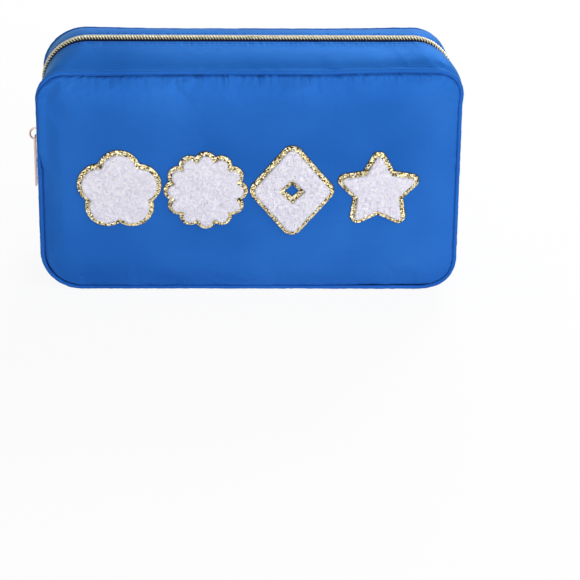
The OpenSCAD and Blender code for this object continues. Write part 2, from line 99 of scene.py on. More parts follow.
PANEL_TOP_R = 16.0                                 # corner radii
BACK_TOP_R = 26.5
PANEL_FOOT_R = 24.0
ZIP_R = 29.0
ROUND = 1.57                                       # length of a quarter circle of radius 1
SEAM_STEP = 1.6                                    # how far the gusset's edge stands outside the panel's
SEAM_TOP = PANEL_TOP + 1.4                         # height of the bands' seam edge
LIP = 3.5                                          # how steeply a panel puffs up beside its seam
SWELL = 8.0                                        # how far a panel's flat middle stands out of its seam
CORD_R = 1.35                                      # radius of the piping with its cover
STRIP = 0.4                                        # the front panel is drawn in this far above its left foot
LAP = 2.6                                          # how far it laps over the piping higher up on the left
ROLL = 22.0                                        # width of a panel's swelling edge
ARCH_POWER = 2.6                                   # how squarely the bands swell from seam to zip
BELLY = 1.6                                        # how far the gusset's sides belly out
BAND_PUFF = 2.0                                    # how far the bands puff out at the right top corner
BAND_TUCK = 1.2                                    # how far the zip is pulled in at the left top corner
SKIN = 0.7                                         # thickness of one layer of nylon
LINING_T, LINING_STEP = 0.5, 3.0                   # thickness of the lining, and the size of its faces
PANEL_LINING, BAND_LINING, GUSSET_LINING = 2.0, 3.3, 2.3    # how deep it lies behind each face


# ---- Numbers ----

def mix(a, b, s):
    return a + (b - a) * s


def smooth(x, low=0.0, high=1.0):
    """0 before low, 1 after high, and a soft step between them."""
    x = np.clip((np.asarray(x, float) - low) / (high - low), 0, 1)
    return x * x * (3 - 2 * x)


def uneven(s, pitch, seed):
    """A smooth random rise and fall along s, from -1 to 1, with its hills about two pitches apart."""
    table = np.random.default_rng(seed).uniform(-1, 1, 1024)
    s = np.asarray(s, float) / pitch + 512
    i = np.floor(s).astype(int)
    return mix(table[i % 1024], table[(i + 1) % 1024], smooth(s - i))


def uneven_over(u, v, pitch_u, pitch_v, seed):
    """The same over a surface."""
    table = np.random.default_rng(seed).uniform(-1, 1, (256, 256))
    u, v = np.broadcast_arrays(np.asarray(u, float) / pitch_u + 128, np.asarray(v, float) / pitch_v + 128)
    i, j = np.floor(u).astype(int), np.floor(v).astype(int)
    near, far = (mix(table[i % 256, k % 256], table[(i + 1) % 256, k % 256], smooth(u - i)) for k in (j, j + 1))
    return mix(near, far, smooth(v - j))


def puckers(along, away, pitch, reach, seed):
    """Small folds that stand across a seam and die away from it: round hills with sharp creases between them.
    along and away are measured from the seam."""
    folds = 1.5 * np.abs(uneven(along, pitch, seed)) - 0.7 + 0.4 * uneven(along, pitch * 0.5, seed + 1)
    folds = folds * (0.65 + 0.5 * uneven(along, pitch * 7, seed + 3))
    length = reach * (1 + 0.6 * uneven(along, pitch * 1.3, seed + 2))
    return folds * np.exp(-np.maximum(away, 0) / length)


def grid_over(u, v):
    return np.meshgrid(u, v, indexing="ij")


def steps_along(lengths, step):
    """Values of u about one step apart along stretches of the given lengths, and how far along each lies.
    u grows by 1 in each stretch."""
    u, run = [0.0], [0.0]
    for part, length in enumerate(lengths):
        count = max(2, round(length / step))
        u += [part + (i + 1) / count for i in range(count)]
        run += [sum(lengths[:part]) + length * (i + 1) / count for i in range(count)]
    return np.array(u), np.array(run)


# ---- Objects and meshes ----

def placed(name, data):
    """A new object in the scene."""
    made = bpy.data.objects.new(name, data)
    bpy.context.scene.collection.objects.link(made)
    return made


def evaluated_mesh(holder):
    """The plain mesh that an object's curve or modifiers make."""
    bpy.context.view_layer.update()
    return bpy.data.meshes.new_from_object(holder.evaluated_get(bpy.context.evaluated_depsgraph_get()))


def points_of(mesh):
    co = np.zeros(len(mesh.vertices) * 3)
    mesh.vertices.foreach_get("co", co)
    return co.reshape(-1, 3)


def shade_smooth(mesh):
    mesh.polygons.foreach_set("use_smooth", [True] * len(mesh.polygons))


def turn_outwards(mesh, weld=0.0):
    """Turns the faces outwards, after points closer than weld are merged."""
    built = bmesh.new()
    built.from_mesh(mesh)
    if weld:
        bmesh.ops.remove_doubles(built, verts=built.verts, dist=weld)
    bmesh.ops.recalc_face_normals(built, faces=built.faces)
    built.to_mesh(mesh)
    built.free()


def mesh_piece(name, points, faces, finish):
    """A mesh object from points in millimetres."""
    mesh = bpy.data.meshes.new(name)
    mesh.from_pydata((np.asarray(points, float) / 1000).tolist(), [], faces)
    turn_outwards(mesh)
    shade_smooth(mesh)
    mesh.materials.append(finish)
    return placed(name, mesh)


def quads(rows, columns):
    """The numbers of a grid of points, and the corners of the faces between them."""
    grid = np.arange(rows * columns).reshape(rows, columns)
    return grid, np.stack([grid[:-1, :-1], grid[:-1, 1:], grid[1:, 1:], grid[1:, :-1]], -1).reshape(-1, 4)


def closed_sheet(name, outer, inner, finish):
    """A sheet with a thickness, between two grids of points. Its rim is sharp, so that two sheets that meet there
    shade as one."""
    grid, top = quads(*outer.shape[:2])
    n = grid.size
    rim = np.concatenate([grid[0, :], grid[1:, -1], grid[-1, -2::-1], grid[-2:0:-1, 0]])
    after = np.roll(rim, -1)
    side = np.stack([rim, rim + n, after + n, after], -1)
    points = np.concatenate([outer.reshape(-1, 3), inner.reshape(-1, 3)])
    piece = mesh_piece(name, points, np.concatenate([top, top[:, [0, 3, 2, 1]] + n, side]).tolist(), finish)
    pairs = np.zeros(len(piece.data.edges) * 2, int)
    piece.data.edges.foreach_get("vertices", pairs)
    pairs = np.sort(pairs.reshape(-1, 2), axis=1)
    edge = np.sort(np.stack([np.concatenate([rim, rim + n]), np.concatenate([after, after + n])], -1), axis=1)
    sharp = piece.data.attributes.new("sharp_edge", "BOOLEAN", "EDGE")
    sharp.data.foreach_set("value", np.isin(pairs[:, 0] * 4 * n + pairs[:, 1], edge[:, 0] * 4 * n + edge[:, 1]))
    return piece


def rings_along(path, radius, side, up, sides):
    """A ring of points round each point of a path. radius is one for each."""
    turn = np.arange(sides) / sides * 2 * math.pi
    return path[:, None] + radius[:, None, None] * (
        side[:, None] * np.cos(turn)[None, :, None] + up[:, None] * np.sin(turn)[None, :, None])


def ring_faces(rings, sides, closed=False):
    """The faces of a tube through rings of points, and its two ends unless it closes on itself."""
    grid = np.arange(rings * sides).reshape(rings, sides)
    here, there = (grid, np.roll(grid, -1, 0)) if closed else (grid[:-1], grid[1:])
    faces = np.stack([here, np.roll(here, -1, 1), np.roll(there, -1, 1), there], -1).reshape(-1, 4).tolist()
    return faces if closed else faces + [grid[0, ::-1].tolist(), grid[-1].tolist()]


def unit(vectors):
    return vectors / np.linalg.norm(vectors, axis=-1)[..., None]


def cord_loop(name, path, radius, finish, sides=14):
    """A round cord along a closed path of points. radius is one for each point."""
    along = unit(np.roll(path, -1, 0) - np.roll(path, 1, 0))
    across = np.zeros_like(path)
    across[:, 1] = 1
    across -= along * np.sum(across * along, 1)[:, None]
    across = unit(across)
    ring = rings_along(path, radius, across, np.cross(along, across), sides)
    return mesh_piece(name, ring.reshape(-1, 3), ring_faces(len(path), sides, True), finish)


def wire(path, radius, sides=6):
    """Points and faces of a bent wire with closed ends. radius is one for each point."""
    path = np.asarray(path, float)
    along = unit(np.gradient(path, axis=0))
    side = unit(np.cross(along, [1.0, 0.13, 0.21]))
    ring = rings_along(path, np.asarray(radius, float), side, np.cross(along, side), sides)
    return ring.reshape(-1, 3), ring_faces(len(path), sides)


# ---- What the frame is told about each piece ----

def on_case(piece, slot, *nodes):
    """The piece rides on the case and stands for CAD nodes, which are hidden. Its slot is not used."""
    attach(piece, "case")
    if nodes:
        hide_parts(*nodes)
    return piece


# ---- Finishes ----

def srgb(colour):
    """A colour as it is read off a screen, 0 to 255, in the shader's own units."""
    return tuple((c / 255 / 12.92 if c / 255 <= 0.04045 else ((c / 255 + 0.055) / 1.055) ** 2.4)
                 for c in colour) + (1.0,)


class Wiring:
    """Short ways to add and join the nodes of a tree."""

    def __init__(self, tree):
        self.tree = tree

    def add(self, kind, **values):
        """A node with values for its inputs and its settings."""
        node = self.tree.nodes.new(kind)
        for key, value in values.items():
            if key in node.inputs:
                node.inputs[key].default_value = value
            else:
                setattr(node, key, value)
        return node

    def join(self, *joins):
        """Each join names a node, its output, the next node and its input."""
        for source, out, target, into in joins:
            self.tree.links.new(source.outputs[out], target.inputs[into])


class Finish(Wiring):
    """A material and short ways to make its patterns. Its colours are given as on a screen."""

    def __init__(self, name, colour, roughness, **shader):
        self.material = bpy.data.materials.new(name)
        self.material.use_nodes = True
        super().__init__(self.material.node_tree)
        self.shader = self.tree.nodes["Principled BSDF"]
        self.shader.inputs["Base Color"].default_value = self.material.diffuse_color = srgb(colour)
        self.shader.inputs["Roughness"].default_value = roughness
        for socket, value in shader.items():
            self.shader.inputs[socket.replace("_", " ")].default_value = value

    def texture(self, kind, scale, **values):
        """A pattern in the piece's own space. scale is one over its size in metres."""
        made = self.add(kind, Scale=1.0, **values)
        moved = self.add("ShaderNodeMapping", Scale=scale if isinstance(scale, tuple) else (scale,) * 3)
        self.join((self.add("ShaderNodeTexCoord"), "Object", moved, "Vector"), (moved, "Vector", made, "Vector"))
        return made

    def noise(self, scale, detail=3.0, **values):
        return self.texture("ShaderNodeTexNoise", scale, Detail=detail, **values)

    def ramp(self, source, out, *stops):
        """Colours at given values of a pattern. They are the finish's colour until something else is joined to it."""
        made = self.add("ShaderNodeValToRGB")
        while len(made.color_ramp.elements) < len(stops):
            made.color_ramp.elements.new(0.5)
        for element, (at, colour) in zip(made.color_ramp.elements, stops):
            element.position, element.color = at, srgb(colour)
        self.join((source, out, made, "Fac"), (made, "Color", self.shader, "Base Color"))
        return made

    def bump(self, source, out, distance, strength=1.0, under=None):
        made = self.add("ShaderNodeBump", Distance=distance, Strength=strength)
        if under is not None:
            self.join((under, "Normal", made, "Normal"))
        self.join((source, out, made, "Height"), (made, "Normal", self.shader, "Normal"))
        return made


def satin_nylon(name, colour, light, dark):
    """Fine twill nylon with a soft sheen: a diagonal weave, slubs, and a slow drift of shade."""
    f = Finish(name, colour, 0.46, Sheen_Weight=0.12, Sheen_Roughness=0.3, Specular_IOR_Level=0.006, Metallic=0.12,
               Sheen_Tint=(0.45, 1.0, 0.80, 1.0), Specular_Tint=(0.22, 0.80, 1.0, 1.0))
    shade = f.ramp(f.noise(14, detail=2.0), "Fac", (0.30, dark), (0.52, colour), (0.75, light))
    slubs = f.noise((160, 160, 2600), detail=2.0)
    mixed = f.add("ShaderNodeMix", data_type="RGBA", blend_type="MULTIPLY")
    mixed.inputs["Factor"].default_value = 0.14
    brighter = f.add("ShaderNodeHueSaturation", Value=1.06)
    f.join((shade, "Color", mixed, "A"), (slubs, "Fac", mixed, "B"), (mixed, "Result", brighter, "Color"),
           (brighter, "Color", f.shader, "Base Color"))
    twill = f.texture("ShaderNodeTexWave", 900, Distortion=0.6, Detail=1.0, bands_direction="DIAGONAL")
    weave = f.bump(twill, "Fac", 0.00006, 0.35)
    f.bump(f.noise(55, detail=4.0, Roughness=0.6), "Fac", 0.0011, 0.30, under=weave)
    return f.material


def plain_cloth(name, colour, other, roughness=0.8, sheen=0.08):
    """Woven cloth for the lining, the zip tape, the thread, and the dark rim round the patches, which is partly their
    dark edge and partly painted shadow.
    """
    f = Finish(name, colour, roughness, Sheen_Weight=sheen, Specular_IOR_Level=0.12)
    weave = f.texture("ShaderNodeTexChecker", 1400, Color1=srgb(colour), Color2=srgb(other))
    f.join((weave, "Color", f.shader, "Base Color"))
    ribs = f.bump(weave, "Fac", 0.00008, 0.5)
    f.bump(f.noise(70, detail=4.0), "Fac", 0.0008, 0.4, under=ribs)
    return f.material


def polished_metal(name, colour, worn, roughness=0.2):
    """Plated metal with faint scuffs."""
    f = Finish(name, colour, roughness, Metallic=1.0)
    scuffs = f.noise(900, detail=6.0)
    f.ramp(scuffs, "Fac", (0.30, worn), (0.55, colour))
    rough = f.add("ShaderNodeMapRange")
    rough.inputs["To Min"].default_value = roughness * 0.8
    rough.inputs["To Max"].default_value = roughness * 1.5
    f.join((scuffs, "Fac", rough, "Value"), (rough, "Result", f.shader, "Roughness"))
    f.bump(scuffs, "Fac", 0.00001, 0.3)
    return f.material


def coil_gold(name, dull, plain, bright):
    """The coil's plated nylon: pale gold, a little uneven from turn to turn. Made dark, it is painted shade under the
    turns.
    """
    f = Finish(name, plain, 0.28, Metallic=0.3, Specular_IOR_Level=0.6)
    f.ramp(f.noise(700), "Fac", (0.30, dull), (0.50, plain), (0.72, bright))
    return f.material


def glitter_foil(name):
    """Gold glitter: flakes of many tilts and golds, with dark gaps between some of them."""
    f = Finish(name, (226, 204, 142), 0.3, Metallic=0.65)
    flakes = f.texture("ShaderNodeTexVoronoi", 1380)
    split = f.add("ShaderNodeSeparateColor")
    f.join((flakes, "Color", split, "Color"))
    f.ramp(split, "Red", (0.00, (46, 34, 16)), (0.24, (84, 66, 34)), (0.31, (206, 182, 116)),
           (0.62, (230, 212, 156)), (0.85, (253, 248, 222)))
    tilt, size, lean, level = (f.add("ShaderNodeVectorMath", operation=o)
                               for o in ("SUBTRACT", "SCALE", "ADD", "NORMALIZE"))
    tilt.inputs[1].default_value = (0.5, 0.5, 0.5)
    size.inputs["Scale"].default_value = 1.1
    f.join((flakes, "Color", tilt, 0), (tilt, "Vector", size, 0), (f.add("ShaderNodeNewGeometry"), "Normal", lean, 0),
           (size, "Vector", lean, 1), (lean, "Vector", level, 0), (level, "Vector", f.shader, "Normal"))
    return f.material


def chenille(name):
    """White looped pile with a cool cast, a little darker where its yarn bump dips: painted shade in its hollows."""
    f = Finish(name, (252, 249, 255), 0.95, Sheen_Weight=0.08, Sheen_Roughness=0.6, Specular_IOR_Level=0.1,
               Subsurface_Weight=0.3, Subsurface_Scale=0.0015, Subsurface_Radius=(1.0, 1.0, 1.0))
    yarn = f.noise(420, detail=4.0)
    # The colour darkens where the bump below is low: painted shade in the hollows.
    f.ramp(yarn, "Fac", (0.30, (238, 234, 255)), (0.58, (248, 245, 255)))
    f.bump(yarn, "Fac", 0.0006, 0.5)
    return f.material


NYLON = satin_nylon("satin_nylon", (42, 108, 197), (48, 116, 205), (36, 100, 187))
# A slightly darker copy of the satin nylon for the piping: painted shade in the seams.
SHADED_PIPING_CLOTH = satin_nylon("piping_nylon", (40, 104, 193), (46, 112, 202), (33, 94, 180))
LINING = plain_cloth("lining_cloth", (30, 62, 136), (24, 50, 116), roughness=0.6)
TAPE = plain_cloth("zip_tape_cloth", (11, 25, 74), (8, 18, 60), sheen=0.02)
THREAD = plain_cloth("blue_thread", (42, 106, 198), (30, 84, 172), roughness=0.6, sheen=0.03)
COIL_GOLD = coil_gold("coil_gold", (208, 198, 156), (233, 225, 193), (252, 248, 232))
# The coil's gold made dark, for a strip under the turns: painted shade between and beneath them.
COIL_PAINTED_SHADE = coil_gold("coil_core", (48, 44, 30), (66, 60, 38), (90, 82, 54))
STOP_METAL = polished_metal("stop_metal", (214, 190, 128), (170, 146, 92))
ROSE_GOLD = polished_metal("rose_gold_metal", (226, 202, 194), (212, 182, 172), roughness=0.22)
GLITTER = glitter_foil("glitter_foil")
PILE = chenille("chenille_pile")
# A dark rim round each patch: partly the glitter's own dark edge, partly painted shadow where the patch stands off the
# panel.
PATCH_RIM_DARK_AND_SHADOW = plain_cloth("felt_backing_cloth", (74, 64, 44), (58, 50, 34))


# ---- Surfaces of the case ----

def stuffed(points):
    """Points of the sewn shell, moved to where they lie once the case is full. The front's top edge rises towards
    the right and its right corners fill out. The back's top edge sinks in the middle, and its right side is
    drawn in behind the zip."""
    x, y, z = points[..., 0], points[..., 1], points[..., 2]
    front, back = smooth(-y, 12, 36), smooth(y, 12, 36)
    top, foot = smooth(z, 112, 144), 1 - smooth(z, 8, 28)
    rise = front * top * (0.5 + 0.8 * smooth(x, -110, -30) + 1.2 * smooth(x, 40, 96))
    rise = rise - 0.9 * back * top * (1 - smooth(np.abs(x), 50, 110)) - 1.0 * front * foot * smooth(x, 108, 124)
    push = front * smooth(x, 100, 126) * (1.2 * smooth(z, 126, 141) + 1.9 * foot)
    push = push - 1.2 * (1 - smooth(np.abs(y), 3, 16)) * smooth(x, 108, 126) * smooth(z, 96, 124)
    push = push - 2.6 * smooth(y, 5, 24) * smooth(x, 104, 128) * smooth(z, 92, 116) * (1 - smooth(z, 140, 152))
    return points + np.stack([push, 0 * push, rise], -1)


def shell_inputs(u, y, depth):
    """u, y and depth as arrays of one shape, how far the shell has swelled at y, and the angle round the corner."""
    u, y, depth = np.broadcast_arrays(np.asarray(u, float), np.asarray(y, float), np.asarray(depth, float))
    t = np.abs(y / SEAM_Y)
    s = 1 - t ** ARCH_POWER
    return u, y, depth, t, s, mix(GUSSET_HW, ZIP_HW, s), np.clip(u - 1, 0, 1) * math.pi / 2


def arch_point(u, y, depth, hand):
    """Points on half of the zip bands, right for hand 1 and left for hand -1: u runs from 0 to 1 up the side,
    to 2 round the corner and to 3 along the top to the middle. depth is measured inwards from the surface."""
    u, y, depth, t, s, hw, turn = shell_inputs(u, y, depth)
    t = np.clip(t, 0, 1)
    top = mix(SEAM_TOP, ZIP_TOP, s)
    r = mix(np.where(y > 0, BACK_TOP_R, PANEL_TOP_R) + SEAM_STEP, ZIP_R, 1 - t ** (1.5 if hand > 0 else 1.9))
    if hand > 0:
        puffed = BAND_PUFF * 4 * t * (1 - t) * smooth(u, 0, 0.7) * (1 - smooth(u, 1.5, 2.2))
        depth = depth - np.where(y > 0, 0.2, 1.0) * puffed
    else:
        hw = hw - BAND_TUCK * s * smooth(u, 0.6, 1.1) * (1 - smooth(u, 1.8, 2.9))
    x = (hw - r + (r - depth) * np.cos(turn)) * (1 - np.clip(u - 2, 0, 1))
    z = np.where(u < 1, mix(CROSS_Z, top - r, np.clip(u, 0, 1)), top - r + (r - depth) * np.sin(turn))
    return stuffed(np.stack([hand * x, y, z], -1))


def arch_steps(step):
    """Values of u about one step apart along the arch, and how far along it each lies."""
    return steps_along([ZIP_TOP - ZIP_R - CROSS_Z, (ZIP_R - 6) * math.pi / 2, ZIP_HW - ZIP_R], step)


def trough_point(u, y, depth):
    """Points on the right half of the gusset below the zip: u runs from 0 to 1 down the side, to 2 round the
    corner and to 3 along the base to the middle."""
    u, y, depth, t, _, hw, turn = shell_inputs(u, y, depth)
    foot = (PANEL_FOOT - SEAM_STEP) * (np.clip(t - 0.72, 0, 1) / 0.28) ** 2
    r = PANEL_FOOT_R + SEAM_STEP
    side = np.clip(u, 0, 1)
    bulge = BELLY * (1 - t * t) * np.sin(math.pi * side)
    x = (hw - r + (r - depth) * np.cos(turn)) * (1 - np.clip(u - 2, 0, 1)) + np.where(u < 1, bulge, 0)
    z = np.where(u < 1, mix(CROSS_Z, foot + r, side), foot + r - (r - depth) * np.sin(turn))
    return np.stack([x, y, z], -1)


def rim_distance(x, z, top_r):
    """How far a point of a panel lies inside the panel's edge."""
    middle, hh = (PANEL_TOP + PANEL_FOOT) / 2, (PANEL_TOP - PANEL_FOOT) / 2
    r = np.where(z > middle, top_r, PANEL_FOOT_R)
    qx, qz = np.abs(x) - PANEL_HW + r, np.abs(z - middle) - hh + r
    return r - np.hypot(np.maximum(qx, 0), np.maximum(qz, 0)) - np.minimum(np.maximum(qx, qz), 0)


def panel_width(z, top_r):
    """Half width of a panel at a height."""
    under = np.clip(PANEL_FOOT + PANEL_FOOT_R - z, 0, PANEL_FOOT_R)
    over = np.clip(z - PANEL_TOP + top_r, 0, top_r)
    return PANEL_HW - PANEL_FOOT_R - top_r + np.sqrt(PANEL_FOOT_R ** 2 - under ** 2) + np.sqrt(top_r ** 2 - over ** 2)


def quarter_sine(s):
    """0 before 0, 1 after 1, rising steeply and then ever less."""
    return np.sin(np.clip(s, 0, 1) * math.pi / 2)


CLOTH_ROWS, CLOTH_COLUMNS = 66, 118                # the grid of the simulated cloth
CLOTH_GROWTH = 0.012                               # how much larger the cloth is cut than the frame it is sewn to
CLOTH_MOST = 2.6                                   # how far the simulation may move a point
CLOTH_FRAMES = 24                                  # how long it settles


def simulated_cloth(seed, top_r):
    """The cloth of a padded panel, pinned along its seam, cut larger than its frame and pressed out from within,
    so that it gathers along the seam. Gives how far each point of the grid moves outwards."""
    z, across = grid_over(np.linspace(PANEL_FOOT, PANEL_TOP, CLOTH_ROWS), np.linspace(-1, 1, CLOTH_COLUMNS))
    x = across * panel_width(z, top_r)
    inside = np.maximum(rim_distance(x, z, top_r), 0)
    face = SEAM_Y + LIP * (1 - np.exp(-inside / 0.8)) + (SWELL - LIP) * quarter_sine(inside / ROLL)
    face = face + 0.12 * uneven_over(x, z, 4, 4, seed + 50)
    grid, faces = quads(CLOTH_ROWS, CLOTH_COLUMNS)
    mesh = bpy.data.meshes.new("cloth")
    mesh.from_pydata((np.stack([x, -face, z], -1).reshape(-1, 3) / 1000).tolist(), [], faces.tolist())
    holder = placed("cloth", mesh)
    rim = np.concatenate([grid[0], grid[-1], grid[1:-1, 0], grid[1:-1, -1]])
    holder.vertex_groups.new(name="seam").add(rim.tolist(), 1.0, "REPLACE")
    cloth = holder.modifiers.new("cloth", "CLOTH")
    settings = dict(quality=6, mass=0.1, tension_stiffness=18, compression_stiffness=18, shear_stiffness=6,
                    bending_stiffness=0.05, vertex_group_mass="seam", shrink_min=-CLOTH_GROWTH, use_pressure=True,
                    uniform_pressure_force=1.0)
    for key, value in settings.items():
        setattr(cloth.settings, key, value)
    cloth.settings.effector_weights.gravity = 0
    cloth.collision_settings.use_collision = False
    cloth.point_cache.frame_start, cloth.point_cache.frame_end = 1, CLOTH_FRAMES
    for number in range(1, CLOTH_FRAMES + 1):
        bpy.context.scene.frame_set(number)
    settled = points_of(holder.evaluated_get(bpy.context.evaluated_depsgraph_get()).data)
    bpy.data.objects.remove(holder)
    bpy.context.scene.frame_set(1)
    return -settled.reshape(x.shape + (3,))[..., 1] * 1000 - face


CLOTHS = {}                                        # the simulated cloths, by their seed


def swelling(x, z, seed, top_r):
    """How far the simulated cloth stands out at a point of a panel, smooth between the points of its grid."""
    if seed not in CLOTHS:
        CLOTHS[seed] = simulated_cloth(seed, top_r)

    def neighbours(place, count):
        place = np.clip(place, 0, count - 1)
        first = np.minimum(np.floor(place).astype(int), count - 2)
        t = place - first
        weights = (-t / 2 + t ** 2 - t ** 3 / 2, 1 - 2.5 * t ** 2 + 1.5 * t ** 3, t / 2 + 2 * t ** 2 - 1.5 * t ** 3,
                   -t ** 2 / 2 + t ** 3 / 2)
        return [(np.clip(first + step, 0, count - 1), weight) for step, weight in zip((-1, 0, 1, 2), weights)]

    rows = neighbours((z - PANEL_FOOT) / (PANEL_TOP - PANEL_FOOT) * (CLOTH_ROWS - 1), CLOTH_ROWS)
    columns = neighbours((x / panel_width(np.clip(z, PANEL_FOOT, PANEL_TOP), top_r) + 1) / 2 * (CLOTH_COLUMNS - 1),
                         CLOTH_COLUMNS)
    height = sum(CLOTHS[seed][i, j] * u * v for i, u in rows for j, v in columns)
    filled = smooth(rim_distance(x, z, top_r), 4, 20)    # the filling holds the middle of the panel smooth
    return np.clip(height, -CLOTH_MOST, CLOTH_MOST) * mix(0.6, 0.2, filled)


def panel_face(x, z, seed, top_r=PANEL_TOP_R):
    """How far a panel's face stands out of the middle of the case, with its folds and unevenness."""
    inside = np.maximum(rim_distance(x, z, top_r), 0)
    below_top, over_foot, from_side = PANEL_TOP - z, z - PANEL_FOOT, PANEL_HW - np.abs(x)
    lip = LIP * (1 - np.exp(-inside / (0.8 + 0.3 * uneven(x + 3 * z, 2.4, seed + 31))))
    face = SEAM_Y - 1.0 + lip + (SWELL + 1.0 - LIP) * quarter_sine(inside / ROLL)
    face = face + 0.55 * uneven_over(x, z, 46, 34, seed) * smooth(inside, 4, 26)
    face = face + 0.18 * uneven_over(x, z, 15, 11, seed + 1) * smooth(inside, 2, 12)
    top = 2.6 * puckers(x, below_top, 1.6, 1.6, seed + 2) + 0.45 * puckers(x, below_top, 7, 8, seed + 20)
    foot = 0.9 * puckers(x, over_foot, 2.3, 3.0, seed + 5) + 0.5 * puckers(x, over_foot, 9, 9, seed + 23)
    side = 0.6 * puckers(z, from_side, 2.6, 3.0, seed + 8) + 0.5 * puckers(z, from_side, 10, 9, seed + 26)
    flat_top = smooth(from_side, 8, 20)
    folds = top * flat_top + foot * flat_top + side * smooth(inside, 0, 3)
    return face + swelling(x, z, seed, top_r) + folds * smooth(inside, -0.4, 0.8)


# ---- Panels ----

def panel_heights(step, top_r):
    """Heights of a panel's rows: fine beside the seams at top and foot, even angles in the corners, wider steps
    in the middle."""
    fine = np.arange(0, 7, step * 0.75)
    low, high = (np.unique(np.concatenate([r * (1 - quarter_sine(np.linspace(0, 1, round(r * 2.0 / step)))), fine]))
                 for r in (PANEL_FOOT_R, top_r))
    low, high = (rows[np.concatenate([[True], np.diff(rows) > 0.3 * step])] for rows in (low, high))
    low, high = PANEL_FOOT + low, PANEL_TOP - high[::-1]
    between = np.linspace(low[-1], high[0], round((high[0] - low[-1]) / (2.2 * step)) + 1)
    return np.concatenate([low[:-1], between, high[1:]])


def left_lap(z):
    """How far the front panel's left edge lies outside its seam. Above the zip's end it laps right over the
    piping. Below it is drawn in and bares the side of the case, with a slanting fold in between."""
    slant = np.clip((z - CROSS_Z - 6) / 12, 0, 1)
    return mix(-STRIP * smooth(z, 6, 30), LAP, slant) * (1 - smooth(z, 134, 146)) + 0.4 * smooth(z, 134, 146)


def lapped(x, z, top_r, side):
    """How far the full panel laps over its piping, to the side and at the foot."""
    side_lap = np.where((x > 0) | (side > 0), 0.9, left_lap(z))
    beside = np.sign(x) * side_lap * (1 - smooth(panel_width(z, top_r) - np.abs(x), 0, 9))
    at_foot = (1 - smooth(z - PANEL_FOOT, 0, 9)) * smooth(PANEL_HW - np.abs(x), 14, 30)
    return beside, (0.3 + 1.0 * (1 - smooth(x, 20, 110))) * at_foot


def panel_sheet(name, side, seed, finish, step, lift, top_r):
    """A whole panel. side is -1 for the front and 1 for the back, and lift is how far behind the face it lies."""
    at_edge = np.array([0, 0.3, 0.6, 0.95, 1.35, 1.8]) / PANEL_HW
    across = np.linspace(at_edge[-1] - 1, 1 - at_edge[-1], round(2 * PANEL_HW / step) | 1)[1:-1]
    z, across = grid_over(panel_heights(step, top_r), np.concatenate([at_edge - 1, across, 1 - at_edge[::-1]]))
    width = panel_width(z, top_r)
    x = across * width
    face = panel_face(x, z, seed, top_r)
    wave = 1.7 * puckers(x, PANEL_TOP - z, 1.6, 2.0, seed + 2)
    wave = wave + 0.35 * uneven(x, 9, seed + 40) * np.exp(-(PANEL_TOP - z) / 3)
    wave_foot = 0.40 * puckers(x, z - PANEL_FOOT, 2.3, 1.6, seed + 5)
    wave_foot = wave_foot + 0.3 * uneven(x, 8, seed + 41) * np.exp(-(z - PANEL_FOOT) / 3)
    beside, under = (-0.8 * np.sign(x), 0) if lift else lapped(x, z, top_r, side)
    if side < 0 and not lift:
        wrapped = smooth(left_lap(z), 0.6, LAP)
        edge = (1 - smooth(x + width, 1, 6)) * (0.15 + 0.85 * smooth(x + width, 0, 1.6))
        face = face + edge * (2.4 * wrapped + 1.0 * np.exp(-((z - CROSS_Z - 11) / 7) ** 2))
        tuck = wrapped * (1 - smooth(x + width, 0, 1.1))    # the edge turns in behind the piping, into the band
        face, beside = face - 1.9 * tuck, beside + 1.5 * tuck
    z = z + (wave - wave_foot) * smooth(width - np.abs(x), 0, 8) - under
    outer = stuffed(np.stack([x + beside, side * (face - lift), z], -1))
    normal = unit(np.cross(np.gradient(outer, axis=0), np.gradient(outer, axis=1)))
    normal *= np.sign(side * normal[len(normal) // 2, normal.shape[1] // 2, 1])
    return closed_sheet(name, outer, outer - SKIN * normal, finish)


FRONT_SEED, BACK_SEED = 11, 67
for part, finish, lift in (("panel", NYLON, 0), ("lining", LINING, PANEL_LINING)):
    for end, side, seed, step, top_r in (("front", -1, FRONT_SEED, 0.75, PANEL_TOP_R),
                                         ("back", 1, BACK_SEED, 0.9, BACK_TOP_R)):
        cover = panel_sheet(f"{end}_{part}_cover", side, seed, finish, LINING_STEP if lift else step, lift, top_r)
        on_case(cover, "lining" if lift else "satin_nylon", f"{end}_{part}")


# ---- Piping ----

def piping_path(side, top_r, step=0.9):
    """The line of the piping round a panel, in order, and how far along it each point lies."""
    r = PIPING / 2
    points = []
    for left, low, corner_r, start in ((1, 1, top_r, 0), (-1, 1, top_r, 90),
                                       (-1, -1, PANEL_FOOT_R, 180), (1, -1, PANEL_FOOT_R, 270)):
        bend = corner_r + r
        cx = left * (PANEL_HW + r) - left * bend
        cz = (PANEL_TOP + r if low > 0 else PANEL_FOOT - r) - low * bend
        count = round(bend * ROUND / step)
        for i in range(count + 1):
            a = math.radians(start + 90 * i / count)
            points.append((cx + bend * math.cos(a), cz + bend * math.sin(a)))
    line = []
    for (x0, z0), (x1, z1) in zip(points, points[1:] + points[:1]):
        count = max(1, round(math.hypot(x1 - x0, z1 - z0) / step))
        line += [(mix(x0, x1, i / count), mix(z0, z1, i / count)) for i in range(count)]
    line = np.array(line)
    run = np.arange(len(line)) * step
    y = side * (SEAM_Y + r + 0.05 + 0.12 * uneven(run, 9, 31))
    return np.stack([line[:, 0], y, line[:, 1]], -1), run


